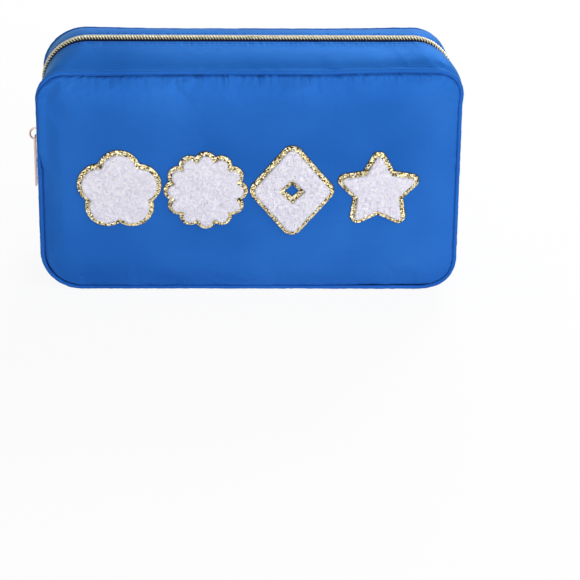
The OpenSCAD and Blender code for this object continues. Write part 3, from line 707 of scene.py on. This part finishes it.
for name, side, top_r in (("front_piping", -1, PANEL_TOP_R), ("back_piping", 1, BACK_TOP_R)):
    path, run = piping_path(side, top_r)
    thickness = CORD_R + 0.09 * uneven(run, 2.6, 33 + side) + 0.06 * uneven(run, 1.2, 37 + side)
    if side < 0:
        z = path[:, 2]
        left = smooth(-path[:, 0], PANEL_HW - 6, PANEL_HW)
        bared = left * smooth(-left_lap(z), 0, STRIP) * smooth(z, 10, 34)
        thickness = thickness - 0.35 * left * smooth(left_lap(z), 0.6, LAP) + 0.35 * bared
        path[:, 0] += 0.35 * bared
        path[:, 1] += 1.7 * bared + 0.8 * (1 - smooth(z, 0, 3)) * (1 - smooth(path[:, 0], 20, 90))
    on_case(cord_loop(name + "_cover", stuffed(path), thickness, SHADED_PIPING_CLOTH), "piping", name)


# ---- Zip bands, tape, lining and coil. Each is made in four quarters: front or back, right or left ----

QUARTERS = [("front", "right", -1, 1), ("front", "left", -1, -1), ("back", "right", 1, 1), ("back", "left", 1, -1)]
BAND_SEED = {"front": 200, "back": 260}
STITCH_ROW = 3.2                                   # distance of the topstitch from the slot
COIL_DEPTH = 0.2                                   # depth of the coil's base below the bands' face
TAPE_DEPTH = 2.4                                   # depth of the tape under the bands
EDGE_R = 0.8                                       # radius of the bands' turned edge


def at_mouth(piece, quarter, part=None):
    """The piece stands for its CAD nodes, if it has any, which are hidden, and its place is baked into its mesh."""
    end, hand, _, side_sign = quarter
    if part:
        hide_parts(f"{end}_{part}_{hand}", f"{end}_flap_{part.split('_')[-1]}")
    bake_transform(piece)
    return piece


def band_surface(along, y, seed):
    """How far the band's face lies below the plain arch: folds gather along the seam and beside the topstitch,
    whose row is sunk a little. along is measured from the middle of the mouth, and y from the zip."""
    from_slot, from_seam = y - SLOT, SEAM_Y - y
    sag = 0.15 * (1 + uneven_over(along, y, 34, 22, seed)) * smooth(from_seam, 3, 14) * smooth(from_slot, 2, 8)
    sag = sag + 0.14 * np.exp(-((from_seam - 3.6) / 1.4) ** 2)
    seam_folds = 0.25 * puckers(along, from_seam, 2.6, 2.6, seed + 1) + 0.5 * puckers(along, from_seam, 12, 9, seed + 2)
    beside = np.abs(from_slot - STITCH_ROW)
    stitch_folds = 0.42 * puckers(along, beside, 1.2, 1.8, seed + 4) + 0.22 * np.exp(-(beside / 0.5) ** 2)
    return sag + seam_folds * smooth(from_seam, 0.5, 2.0) + stitch_folds


def arch_grid(y, step, side_sign):
    """u and y over a part of the bands, and how far each of its points lies from the middle of the mouth."""
    u, run = arch_steps(step)
    u, y = grid_over(u, y)
    return u, y, side_sign * (run[-1] - run[:, None]) + 0 * y


def zip_band(quarter):
    """One quarter of the zip bands, from the fold by the panel seam to the edge turned under beside the zip."""
    end, hand, depth_sign, side_sign = quarter
    wide, near = HINGE_Y - 0.6, SLOT + 9
    flat = np.concatenate([[HINGE_Y + 0.3, HINGE_Y], wide - (wide - near) * np.linspace(0, 1, 18),
                           near - (9 - EDGE_R) * np.linspace(0, 1, 17)[1:]])
    curl = np.linspace(15, 180, 7) * math.pi / 180
    y = np.concatenate([flat, SLOT + EDGE_R - EDGE_R * np.sin(curl), [SLOT + 2.5, SLOT + 6]])
    turned = np.concatenate([np.zeros(len(flat)), EDGE_R * (1 - np.cos(curl)), [2 * EDGE_R, 2 * EDGE_R]])
    u, y, along = arch_grid(y, 0.8, side_sign)
    depth = band_surface(along, y, BAND_SEED[end]) + turned
    outer = arch_point(u, depth_sign * y, depth, side_sign)
    under = 0.45 * np.sin(np.clip(turned / EDGE_R, 0, 2) * math.pi / 2)
    inner = arch_point(u, depth_sign * (y + under), depth + np.where(turned > EDGE_R, -0.25, 0.45), side_sign)
    return closed_sheet(f"{end}_{hand}_band_cover", outer, inner, NYLON)


def strip(quarter, part, y, depths, thickness, finish, step):
    """A strip of cloth that follows the arch at the given depths: depths is a function of u, along and y."""
    end, hand, depth_sign, side_sign = quarter
    u, y, along = arch_grid(y, step, side_sign)
    depth = depths(u, along, y)
    outer, inner = (arch_point(u, depth_sign * y, depth + more, side_sign) for more in (0, thickness))
    return closed_sheet(f"{end}_{hand}_{part}", outer, inner, finish)


def past_slider(u, side_sign):
    """0 where the slider runs on the left, 1 along the rest of the zip."""
    return smooth(u, 0.98, 1.35) if side_sign < 0 else np.ones(np.shape(u))


def coil_depth(u, side_sign):
    """The bands lean in towards the top, and the coil keeps to the slider's straight way on the left."""
    straight = np.abs(arch_point(u, 0, 0, -1)[..., 0]) - TAPE_X
    return mix(np.maximum(straight, COIL_DEPTH), COIL_DEPTH, past_slider(u, side_sign))


def tape_depth(u, y, side_sign):
    """The tape goes down from the coil to the turned-under edges of the bands, beside the slider where that runs."""
    past = past_slider(u, side_sign)
    return mix(coil_depth(u, side_sign), TAPE_DEPTH, smooth(y, mix(4.0, 2.3, past), mix(4.7, 5.2, past)))


def seam_edge_depth(along, y, seed):
    """The edge of the band rises beside the piping and goes down into the seam."""
    rise = -0.85 * smooth(y, HINGE_Y - 1.2, SEAM_Y + 0.6)
    return rise + 0.9 * smooth(y, SEAM_Y + 1.0, SEAM_Y + 2.2) + 0.12 + 0.10 * uneven(along, 3.5, seed)


for quarter in QUARTERS:
    end, hand, depth_sign, side_sign = quarter
    seed = BAND_SEED[end]
    band = at_mouth(zip_band(quarter), quarter, "band")

    lining = strip(quarter, "band_lining", np.linspace(HINGE_Y, 12, 12),
                   lambda u, along, y: BAND_LINING + 0.3 * uneven_over(along, y, 12, 9, seed + 9), LINING_T, LINING,
                   LINING_STEP)
    at_mouth(lining, quarter, "band_lining")

    tape = strip(quarter, "tape", [0.4, 1.7, 2.5, 3.1, 3.8, 4.6, 6.0, 9.0, 15.0],
                 lambda u, along, y: tape_depth(u, y, side_sign), 0.4, TAPE, 2.0)
    at_mouth(tape, quarter, "tape")

    # A dark strip just under the coil's turns: painted shade that shows between them.
    coil_shade = strip(quarter, "coil_core", [0.12, 0.8, 1.5, 2.1],
                 lambda u, along, y: coil_depth(u, side_sign) - 0.95 + 0.12 * y, 0.7, COIL_PAINTED_SHADE, 2.0)
    at_mouth(coil_shade, quarter)

    edge_strip = strip(quarter, "seam_edge", np.linspace(SEAM_Y + 1.9, HINGE_Y - 0.8, 9),
                       lambda u, along, y: seam_edge_depth(along, y, seed + 12), 0.5, NYLON, 0.9)
    on_case(edge_strip, "satin_nylon")


# ---- Gusset below the zip ----

def gusset_sheet(name, finish, step, depth, thickness, seed, folds=1.0):
    """The strip down one side, under the base and up the other side. depth is how far behind the face it lies."""
    u, run = steps_along([CROSS_Z - PANEL_FOOT_R, PANEL_FOOT_R * ROUND, ZIP_HW - PANEL_FOOT_R], step)
    y = np.linspace(-SEAM_Y, SEAM_Y, round(2 * SEAM_Y / step) | 1)
    u_grid, y_grid = grid_over(u, y)
    run_grid = np.broadcast_to(run[:, None], u_grid.shape)

    def half(side_sign, extra):
        seam = SEAM_Y - np.abs(y_grid)
        along = run_grid + (500 if side_sign < 0 else 0)
        fold = 0.5 * uneven_over(along, y_grid, 24, 20, seed) * smooth(seam, 2, 14)
        fold = fold + 0.35 * puckers(along, seam, 4.5, 4.5, seed + 3)
        fold = fold + 0.35 * puckers(y_grid, run_grid, 5.0, 5.0, seed + 6) * smooth(run_grid, 0, 2)
        fold = np.where(u_grid > 1.85, np.maximum(fold, 0), fold) * folds
        points = trough_point(u_grid, y_grid, depth + extra + np.where(u_grid > 2, 0.15, 1.0) * fold)
        return stuffed(points * np.array([side_sign, 1.0, 1.0]))

    outer, inner = (np.concatenate([half(1, extra), half(-1, extra)[-2::-1]]) for extra in (0, thickness))
    return closed_sheet(name, outer, inner, finish)


GUSSET_SEED = 301
gusset = gusset_sheet("gusset_cover", NYLON, 1.5, 0.0, SKIN, GUSSET_SEED)
gusset_lining = gusset_sheet("gusset_lining_cover", LINING, LINING_STEP, GUSSET_LINING, LINING_T, GUSSET_SEED,
                             folds=0.5)
on_case(gusset, "satin_nylon", "base_gusset")
on_case(gusset_lining, "lining", "base_lining")

WELT_POINTS, WELT_SIDES = 60, 10

for hand, side_sign in (("right", 1), ("left", -1)):    # the rolled welts that the zip's ends are caught under
    y = np.linspace(-SEAM_Y + 0.5, SEAM_Y - 0.5, WELT_POINTS)
    path = arch_point(0 * y, y, -0.15 + 0.12 * uneven(y, 4, 411), side_sign)
    path[:, 2] += 0.25 * uneven(y, 7, 413)
    turn = np.arange(WELT_SIDES) / WELT_SIDES * 2 * math.pi
    ring = path[:, None] + np.stack([side_sign * 0.8 * np.cos(turn), 0 * turn, 1.5 * np.sin(turn)], -1)[None]
    welt = mesh_piece(f"{hand}_cross_welt_cover", ring.reshape(-1, 3), ring_faces(WELT_POINTS, WELT_SIDES), NYLON)
    on_case(welt, "satin_nylon", f"{hand}_cross_welt")


# ---- What repeats: node trees that set small pieces along a path or over a surface ----

def geometry_tree(name, **inputs):
    """A node tree with inputs of the given kinds, its entry and its exit, which coats what it makes in a finish."""
    tree = bpy.data.node_groups.new(name, "GeometryNodeTree")
    for label, kind in inputs.items():
        tree.interface.new_socket(label, in_out="INPUT", socket_type="NodeSocket" + kind)
    tree.interface.new_socket("Geometry", in_out="OUTPUT", socket_type="NodeSocketGeometry")
    g = Wiring(tree)
    entry, coat = g.add("NodeGroupInput"), g.add("GeometryNodeSetMaterial")
    g.join((entry, "Finish", coat, "Material"), (coat, "Geometry", g.add("NodeGroupOutput"), "Geometry"))
    return g, entry, coat


def copies_on(g, points, entry, label):
    """Nodes that set copies of an input's object on points, and the node that makes them real."""
    piece, copies = g.add("GeometryNodeObjectInfo"), g.add("GeometryNodeInstanceOnPoints")
    real = g.add("GeometryNodeRealizeInstances")
    g.join((points, "Points", copies, "Points"), (entry, label, piece, "Object"),
           (piece, "Geometry", copies, "Instance"), (copies, "Instances", real, "Geometry"))
    return copies, real


def repeat_tree():
    """Sets a piece along a path lying in a plane of constant y: its x runs with the path, its y stays the
    case's y, and its z points away from the path."""
    g, entry, coat = geometry_tree("repeat_along_path", Path="Geometry", Piece="Object", Pitch="Float",
                                   Unevenness="Float", Finish="Material")
    curve, points = g.add("GeometryNodeMeshToCurve"), g.add("GeometryNodeCurveToPoints", mode="LENGTH")
    turn = g.add("FunctionNodeAlignRotationToVector", axis="X", pivot_axis="Y")
    copies, real = copies_on(g, points, entry, "Piece")
    least = g.add("ShaderNodeMath", operation="SUBTRACT")
    least.inputs[0].default_value = 1.0
    size = g.add("FunctionNodeRandomValue", data_type="FLOAT", Seed=7)
    size.inputs[3].default_value = 1.0
    g.join((entry, "Path", curve, "Mesh"), (curve, "Curve", points, "Curve"), (entry, "Pitch", points, "Length"),
           (points, "Tangent", turn, "Vector"), (turn, "Rotation", copies, "Rotation"),
           (entry, "Unevenness", least, 1), (least, 0, size, 2), (size, 1, copies, "Scale"),
           (real, "Geometry", coat, "Geometry"))
    return g.tree


def tuft_tree():
    """Scatters small loops over a mesh, standing off it at random turns, and keeps the mesh under them."""
    g, entry, coat = geometry_tree("tufts_over_pile", Pile="Geometry", Loop="Object", Spacing="Float",
                                   Density="Float", Seed="Int", Finish="Material")
    spread = g.add("GeometryNodeDistributePointsOnFaces", distribute_method="POISSON")
    copies, real = copies_on(g, spread, entry, "Loop")
    spin = g.add("FunctionNodeRandomValue", data_type="FLOAT_VECTOR")
    spin.inputs[0].default_value, spin.inputs[1].default_value = (-0.6, -0.6, 0.0), (0.6, 0.6, 6.283)
    size = g.add("FunctionNodeRandomValue", data_type="FLOAT")
    size.inputs[2].default_value, size.inputs[3].default_value = 0.75, 1.2
    turn = g.add("FunctionNodeRotateRotation", rotation_space="LOCAL")
    euler = g.add("FunctionNodeEulerToRotation")
    both = g.add("GeometryNodeJoinGeometry")
    g.join((entry, "Pile", spread, "Mesh"), (entry, "Spacing", spread, "Distance Min"),
           (entry, "Density", spread, "Density Max"), (entry, "Seed", spread, "Seed"), (entry, "Seed", spin, "Seed"),
           (entry, "Seed", size, "Seed"), (spin, 0, euler, "Euler"), (spread, "Rotation", turn, "Rotation"),
           (euler, "Rotation", turn, "Rotate By"), (turn, "Rotation", copies, "Rotation"),
           (size, 1, copies, "Scale"), (entry, "Pile", both, "Geometry"), (real, "Geometry", both, "Geometry"),
           (both, "Geometry", coat, "Geometry"))
    return g.tree


REPEAT, TUFTS = repeat_tree(), tuft_tree()
PATTERNS = []                                      # small pieces that are only there to be repeated


def run_tree(holder, tree, **settings):
    """Gives an object the plain mesh that a node tree makes of it. settings are the tree's inputs."""
    modifier = holder.modifiers.new("tree", "NODES")
    modifier.node_group = tree
    sockets = {s.name: s.identifier for s in tree.interface.items_tree if s.in_out == "INPUT"}
    for name, value in settings.items():
        modifier[sockets[name]] = value
    mesh = evaluated_mesh(holder)
    holder.modifiers.remove(modifier)
    holder.data = mesh
    shade_smooth(mesh)


def repeated(name, path, piece, pitch, finish, unevenness=0.0):
    """Copies of a piece along a path of points in millimetres, as one mesh object."""
    line = bpy.data.meshes.new(name + "_line")
    line.from_pydata((path / 1000).tolist(), [(i, i + 1) for i in range(len(path) - 1)], [])
    holder = placed(name, line)
    run_tree(holder, REPEAT, Piece=piece, Pitch=pitch / 1000, Unevenness=unevenness, Finish=finish)
    holder.data.name = name
    return holder


def pattern_piece(name, points, faces, finish):
    """A small piece to be repeated. It is taken away before the end."""
    PATTERNS.append(mesh_piece(name, points, faces, finish))
    return PATTERNS[-1]


def left_to_right(points, side_sign):
    return points if side_sign < 0 else points[::-1]


# ---- Zip coil ----

COIL_PITCH = 1.85


def coil_turn(depth_sign):
    """One turn of a stringer: it rises at the outside, slants over the top and dives in the middle, a quarter of
    a pitch on. There it meets a turn of the other stringer, so that the closed chain looks twisted like a rope."""
    line = [(-1.60, 2.15, 0.15), (-1.50, 2.42, 0.70), (-1.15, 2.12, 1.22), (-0.62, 1.45, 1.54),
            (-0.06, 0.72, 1.66), (0.46, 0.08, 1.58), (0.60, -0.22, 1.10), (0.56, -0.20, 0.50)]
    thick = [0.30, 0.36, 0.39, 0.41, 0.41, 0.40, 0.34, 0.25]
    points, faces = wire([(depth_sign * x, depth_sign * y, z) for x, y, z in line], thick)
    return pattern_piece(f"coil_turn_{'front' if depth_sign < 0 else 'back'}", points, faces, COIL_GOLD)


for quarter in QUARTERS:
    end, hand, depth_sign, side_sign = quarter
    turn = coil_turn(depth_sign)
    bottom = SLIDER_Z - 1.0 if side_sign < 0 else CROSS_Z + 8
    start = (bottom - CROSS_Z) / (ZIP_TOP - ZIP_R - CROSS_Z)
    u, _ = arch_steps(1.0)
    u = np.concatenate([[start], u[u > start + 0.01]])
    path = left_to_right(arch_point(u, 0, coil_depth(u, side_sign), side_sign), side_sign)
    if depth_sign > 0:                             # the back stringer's turns lie between the front one's
        path[0] += (path[1] - path[0]) / np.linalg.norm(path[1] - path[0]) * COIL_PITCH / 2
    coil = repeated(f"{end}_{hand}_coil_turns", path, turn, COIL_PITCH, COIL_GOLD)
    at_mouth(coil, quarter, "coil")


# ---- Stitches: each is a short thread that dives into the cloth at both ends ----

STITCH, STITCH_PITCH = 2.3, 3.0                    # length of one stitch, and from one to the next
x = np.linspace(-STITCH / 2, STITCH / 2, 7)
one_stitch = pattern_piece("stitch", *wire(np.stack([x, 0 * x, 0.20 - 0.6 * (2 * x / STITCH) ** 4], -1),
                                           np.full(7, 0.17)), THREAD)
for quarter in QUARTERS:
    end, hand, depth_sign, side_sign = quarter
    row = SLOT + STITCH_ROW
    u, run = arch_steps(1.0)
    face = band_surface(side_sign * (run[-1] - run), np.full(len(u), row), BAND_SEED[end])
    points = left_to_right(arch_point(u, depth_sign * row, face, side_sign), side_sign)
    thread = repeated(f"{end}_{hand}_topstitch", points, one_stitch, STITCH_PITCH, THREAD, unevenness=0.1)
    at_mouth(thread, quarter)


# ---- Patches ----

PATCH_EDGE = 2.8                                   # width of the glitter edge
BASE_T, PILE_T = 1.2, 2.8                          # thickness of the glitter base and of the pile
RIM_SHADOW_OUT, RIM_SHADOW_T = 0.35, 0.7                       # how far the dark rim shows outside the glitter base, and its thickness; partly the patch's dark edge, partly painted shadow round it
PILE_ROUND, PILE_GRID = 0.9, 0.6                   # radius of the pile's edge, and the size of its faces
LOOP_SPACING, LOOP_DENSITY = 0.95, 900000.0        # least distance between loops, and at most so many in 1 m2


def middle_mm(node, axis):
    low, high = box_mm(node)
    return (low[axis] + high[axis]) / 2


patch_low, patch_high = box_mm("blossom_patch_base")
UNIT = (patch_high[0] - patch_low[0]) / 2          # half width of a patch
PATCH_Z = middle_mm("roundel_patch_base", 2)


def arc(cx, cz, r, start, stop, count):
    """Points of an arc, in degrees."""
    angles = np.radians(np.linspace(start, stop, count))
    return np.stack([cx + r * np.cos(angles), cz + r * np.sin(angles)], -1)


def round_outline(circles, count=360):
    """The outline of overlapping circles about the middle, each given as its distance, its angle and its radius."""
    angle = np.linspace(0, 2 * math.pi, count, endpoint=False)
    reach = np.zeros(count)
    for distance, at, r in circles:
        off = angle - math.radians(at)
        inside = r * r - (distance * np.sin(off)) ** 2
        reach = np.maximum(reach, np.where(inside > 0, distance * np.cos(off) + np.sqrt(np.abs(inside)), 0))
    return np.stack([reach * np.cos(angle), reach * np.sin(angle)], -1)


def blossom(edge):
    reach = UNIT * 0.48 / math.cos(math.radians(18))
    return [round_outline([(reach, 90 + 72 * i, UNIT * 0.52 - edge) for i in range(5)] + [(0, 0, UNIT * 0.5)])]


def roundel(edge):
    reach = UNIT * 0.75
    return [round_outline([(reach, 30 * i, UNIT * 0.25 - edge * 0.9) for i in range(12)]
                          + [(0, 0, reach - edge * 0.1)])]


def lozenge(edge):
    corner = UNIT * 0.26
    half_w, half_h = UNIT - corner, UNIT * 1.16 - corner
    slope = math.degrees(math.atan2(half_h, half_w))
    outer = np.concatenate([arc(x, z, corner - edge, at - open_by, at + open_by, 12) for x, z, at, open_by in (
        (half_w, 0, 0, 90 - slope), (0, half_h, 90, slope), (-half_w, 0, 180, 90 - slope), (0, -half_h, 270, slope))])
    window = UNIT * 0.13 * math.sqrt(2) + edge * math.sqrt(2)
    return [outer, np.array([(window, 0), (0, window), (-window, 0), (0, -window)])]


def star(edge):
    tip, waist, round_r = UNIT * 1.2, UNIT * 0.62, UNIT * 0.17
    s36, c36 = math.sin(math.radians(36)), math.cos(math.radians(36))
    half_angle = math.atan2(waist * s36, tip - waist * c36)
    middle = tip - round_r / math.sin(half_angle)
    inner = waist * (1 - edge / (tip * math.sin(half_angle)))
    open_by = 90 - math.degrees(half_angle)
    points = []
    for at in range(90, 450, 72):
        x, z = middle * math.cos(math.radians(at)), middle * math.sin(math.radians(at))
        points.append(arc(x, z, round_r - edge, at - open_by, at + open_by, 10))
        points.append(arc(0, 0, inner, at + 36, at + 36, 1))
    return [np.concatenate(points)]


def filled_outline(name, loops, thickness, rounding):
    """A flat plate with rounded edges from closed outlines, lying in x and z with its back at y = 0."""
    curve = bpy.data.curves.new(name, "CURVE")
    curve.dimensions, curve.fill_mode = "2D", "BOTH"
    curve.extrude, curve.bevel_depth, curve.bevel_resolution = thickness / 2 - rounding, rounding, 2
    for loop in loops:
        spline = curve.splines.new("POLY")
        spline.points.add(len(loop) - 1)
        for point, (x, z) in zip(spline.points, loop):
            point.co = (x, z, 0, 1)
        spline.use_cyclic_u = True
    holder = placed(name, curve)
    mesh = evaluated_mesh(holder)
    bpy.data.objects.remove(holder)
    mesh.transform(Matrix.Translation((0, -thickness / 2, 0)) @ Matrix.Rotation(math.radians(90), 4, "X"))
    turn_outwards(mesh, weld=0.001)
    return mesh


def pile_bed(name, loops, seed):
    """The ground of a pile: a rounded plate of even small faces, a little uneven on its face."""
    holder = placed("remeshed", filled_outline(name, loops, PILE_T - 0.3, PILE_ROUND))
    grid = holder.modifiers.new("grid", "REMESH")
    grid.mode, grid.voxel_size = "VOXEL", PILE_GRID
    soft = holder.modifiers.new("soft", "SMOOTH")
    soft.factor, soft.iterations = 0.6, 3
    mesh = evaluated_mesh(holder)
    bpy.data.objects.remove(holder)
    co = points_of(mesh)
    co[:, 1] -= np.where(co[:, 1] < -1.0, 0.35 * uneven_over(co[:, 0], co[:, 2], 2.2, 2.2, seed), 0)
    mesh.vertices.foreach_set("co", co.ravel())
    return mesh


def on_panel(name, mesh, middle_x, lift, finish):
    """A piece from a plate in millimetres, moved to its place on the front panel, whose face it follows."""
    co = points_of(mesh)
    x, z = co[:, 0] + middle_x, co[:, 2] + PATCH_Z
    y = co[:, 1] - panel_face(x, z, FRONT_SEED) - lift + 0.1
    mesh.vertices.foreach_set("co", (np.stack([x, y, z], -1) / 1000).ravel())
    mesh.name = name
    mesh.materials.clear()
    mesh.materials.append(finish)
    shade_smooth(mesh)
    return placed(name, mesh)


angles = np.radians(np.linspace(0, 180, 5))        # one loop of the pile is a small arch of soft yarn
yarn = np.stack([0.48 * np.cos(angles), 0.10 * np.sin(2 * angles), 0.20 * np.sin(angles) - 0.05], -1)
yarn_loop = pattern_piece("pile_loop", *wire(yarn, [0.20, 0.28, 0.30, 0.28, 0.20], sides=4), PILE)

for number, outline in enumerate((blossom, roundel, lozenge, star)):
    name = outline.__name__
    middle_x = middle_mm(f"{name}_patch_base", 0)
    base = on_panel(f"{name}_glitter_base", filled_outline(f"{name}_base", outline(0.0), BASE_T, 0.3), middle_x, 0,
                    GLITTER)
    on_case(base, "glitter_foil", f"{name}_patch_base")
    # A dark plate a little wider than the base, whose rim shows round it: partly dark edge, partly painted shadow.
    rim_shadow = on_panel(f"{name}_felt_backing", filled_outline(f"{name}_felt", outline(-RIM_SHADOW_OUT), RIM_SHADOW_T, 0.15),
                    middle_x, 0, PATCH_RIM_DARK_AND_SHADOW)
    on_case(rim_shadow, "glitter_foil")
    bed = on_panel(f"{name}_chenille_pile", pile_bed(f"{name}_pile", outline(PATCH_EDGE + 0.7), 500 + number),
                   middle_x, BASE_T, PILE)
    run_tree(bed, TUFTS, Loop=yarn_loop, Spacing=LOOP_SPACING / 1000, Density=LOOP_DENSITY, Seed=21 + number,
             Finish=PILE)
    on_case(bed, "chenille_pile", f"{name}_patch_pile")

for pattern in PATTERNS:
    bpy.data.objects.remove(pattern)


# ---- Hardware: the CAD solids with their finishes ----

for nodes, finish in ((("slider_body", "slider_crown", "pull_tab"), ROSE_GOLD),
                      (("zip_top_stops", "zip_bottom_stop"), STOP_METAL)):
    for node in nodes:
        frame["nodes"][node].data.materials.clear()
        frame["nodes"][node].data.materials.append(finish)


# ---- Studio ----

FLOOR_GLOW = 0.92                                  # share of plain white in the floor as the camera sees it
SKY_LIGHT = 0.21                                   # how brightly the white world lights the case


def background_rays(w):
    """A node that gives 1 to rays that show the background, to the camera or in metal or glass, and 0 to light."""
    path = w.add("ShaderNodeLightPath")
    seen, also = w.add("ShaderNodeMath", operation="MAXIMUM"), w.add("ShaderNodeMath", operation="MAXIMUM")
    w.join((path, "Is Camera Ray", seen, 0), (path, "Is Glossy Ray", seen, 1), (seen, "Value", also, 0),
           (path, "Is Transmission Ray", also, 1))
    return also


def floor():
    """A plain white floor that keeps the case's shadow."""
    mesh = bpy.data.meshes.new("floor")
    mesh.from_pydata([(-4, -4, 0), (4, -4, 0), (4, 4, 0), (-4, 4, 0)], [], [(0, 1, 2, 3)])
    f = Finish("floor_white", (247, 247, 247), 0.9)
    glow = f.add("ShaderNodeEmission", Strength=1.0)
    share = f.add("ShaderNodeMath", operation="MULTIPLY")
    share.inputs[1].default_value = FLOOR_GLOW
    both = f.add("ShaderNodeMixShader")
    f.join((background_rays(f), "Value", share, 0), (share, "Value", both, "Fac"), (f.shader, "BSDF", both, 1),
           (glow, "Emission", both, 2), (both, "Shader", f.tree.nodes["Material Output"], "Surface"))
    mesh.materials.append(f.material)
    placed("floor", mesh)


def softbox(name, place, aim, size, power):
    light = bpy.data.lights.new(name, "AREA")
    light.shape, light.size, light.size_y, light.energy = "RECTANGLE", size[0], size[1], power
    lamp = placed(name, light)
    lamp.location = place
    lamp.rotation_euler = (Vector(aim) - Vector(place)).to_track_quat("-Z", "Y").to_euler()


def world():
    """A white world, dimmer as a light than as a background."""
    sky = bpy.data.worlds.new("studio")
    sky.use_nodes = True
    w = Wiring(sky.node_tree)
    back = sky.node_tree.nodes["Background"]
    back.inputs["Color"].default_value = (1, 1, 1, 1)
    level = w.add("ShaderNodeMapRange")
    level.inputs["To Min"].default_value = SKY_LIGHT
    level.inputs["To Max"].default_value = 1.0
    w.join((background_rays(w), "Value", level, "Value"), (level, "Result", back, "Strength"))
    bpy.context.scene.world = sky


def camera():
    """The photograph's viewpoint, from the front and above, with the case high and left in the picture."""
    azimuth, elevation, roll = math.radians(-0.34), math.radians(23.585), math.radians(0.603)
    distance, middle, aim = 1.7654, Vector((0, 0, 0.075)), Vector((0.0277, 0, -0.0200))
    back = Vector((math.sin(azimuth) * math.cos(elevation), -math.cos(azimuth) * math.cos(elevation),
                   math.sin(elevation)))
    lens = bpy.data.cameras.new("camera")
    lens.lens, lens.sensor_width = 169.11, 36.0
    lens.clip_start, lens.clip_end = 0.05, 20
    view = placed("camera", lens)
    place = middle + back * distance
    ahead = (aim - place).normalized()
    right = ahead.cross(Vector((0, 0, 1))).normalized()
    up = right.cross(ahead)
    right, up = (math.cos(roll) * right + math.sin(roll) * up, -math.sin(roll) * right + math.cos(roll) * up)
    turn = Matrix((right, up, -ahead)).transposed()
    view.matrix_world = Matrix.Translation(place) @ turn.to_4x4()
    bpy.context.scene.camera = view


floor()
world()
softbox("key", (0.8, -0.9, 1.2), (0, 0, 0.08), (1.0, 1.0), 9.8)
softbox("back", (0.5, 1.5, 0.9), (0, 0, 0.12), (1.0, 0.8), 27)
softbox("front", (0.25, -2.2, 0.7), (0, 0, 0.08), (1.6, 1.2), 18.5)
camera()
bpy.context.scene.view_settings.view_transform = "Standard"
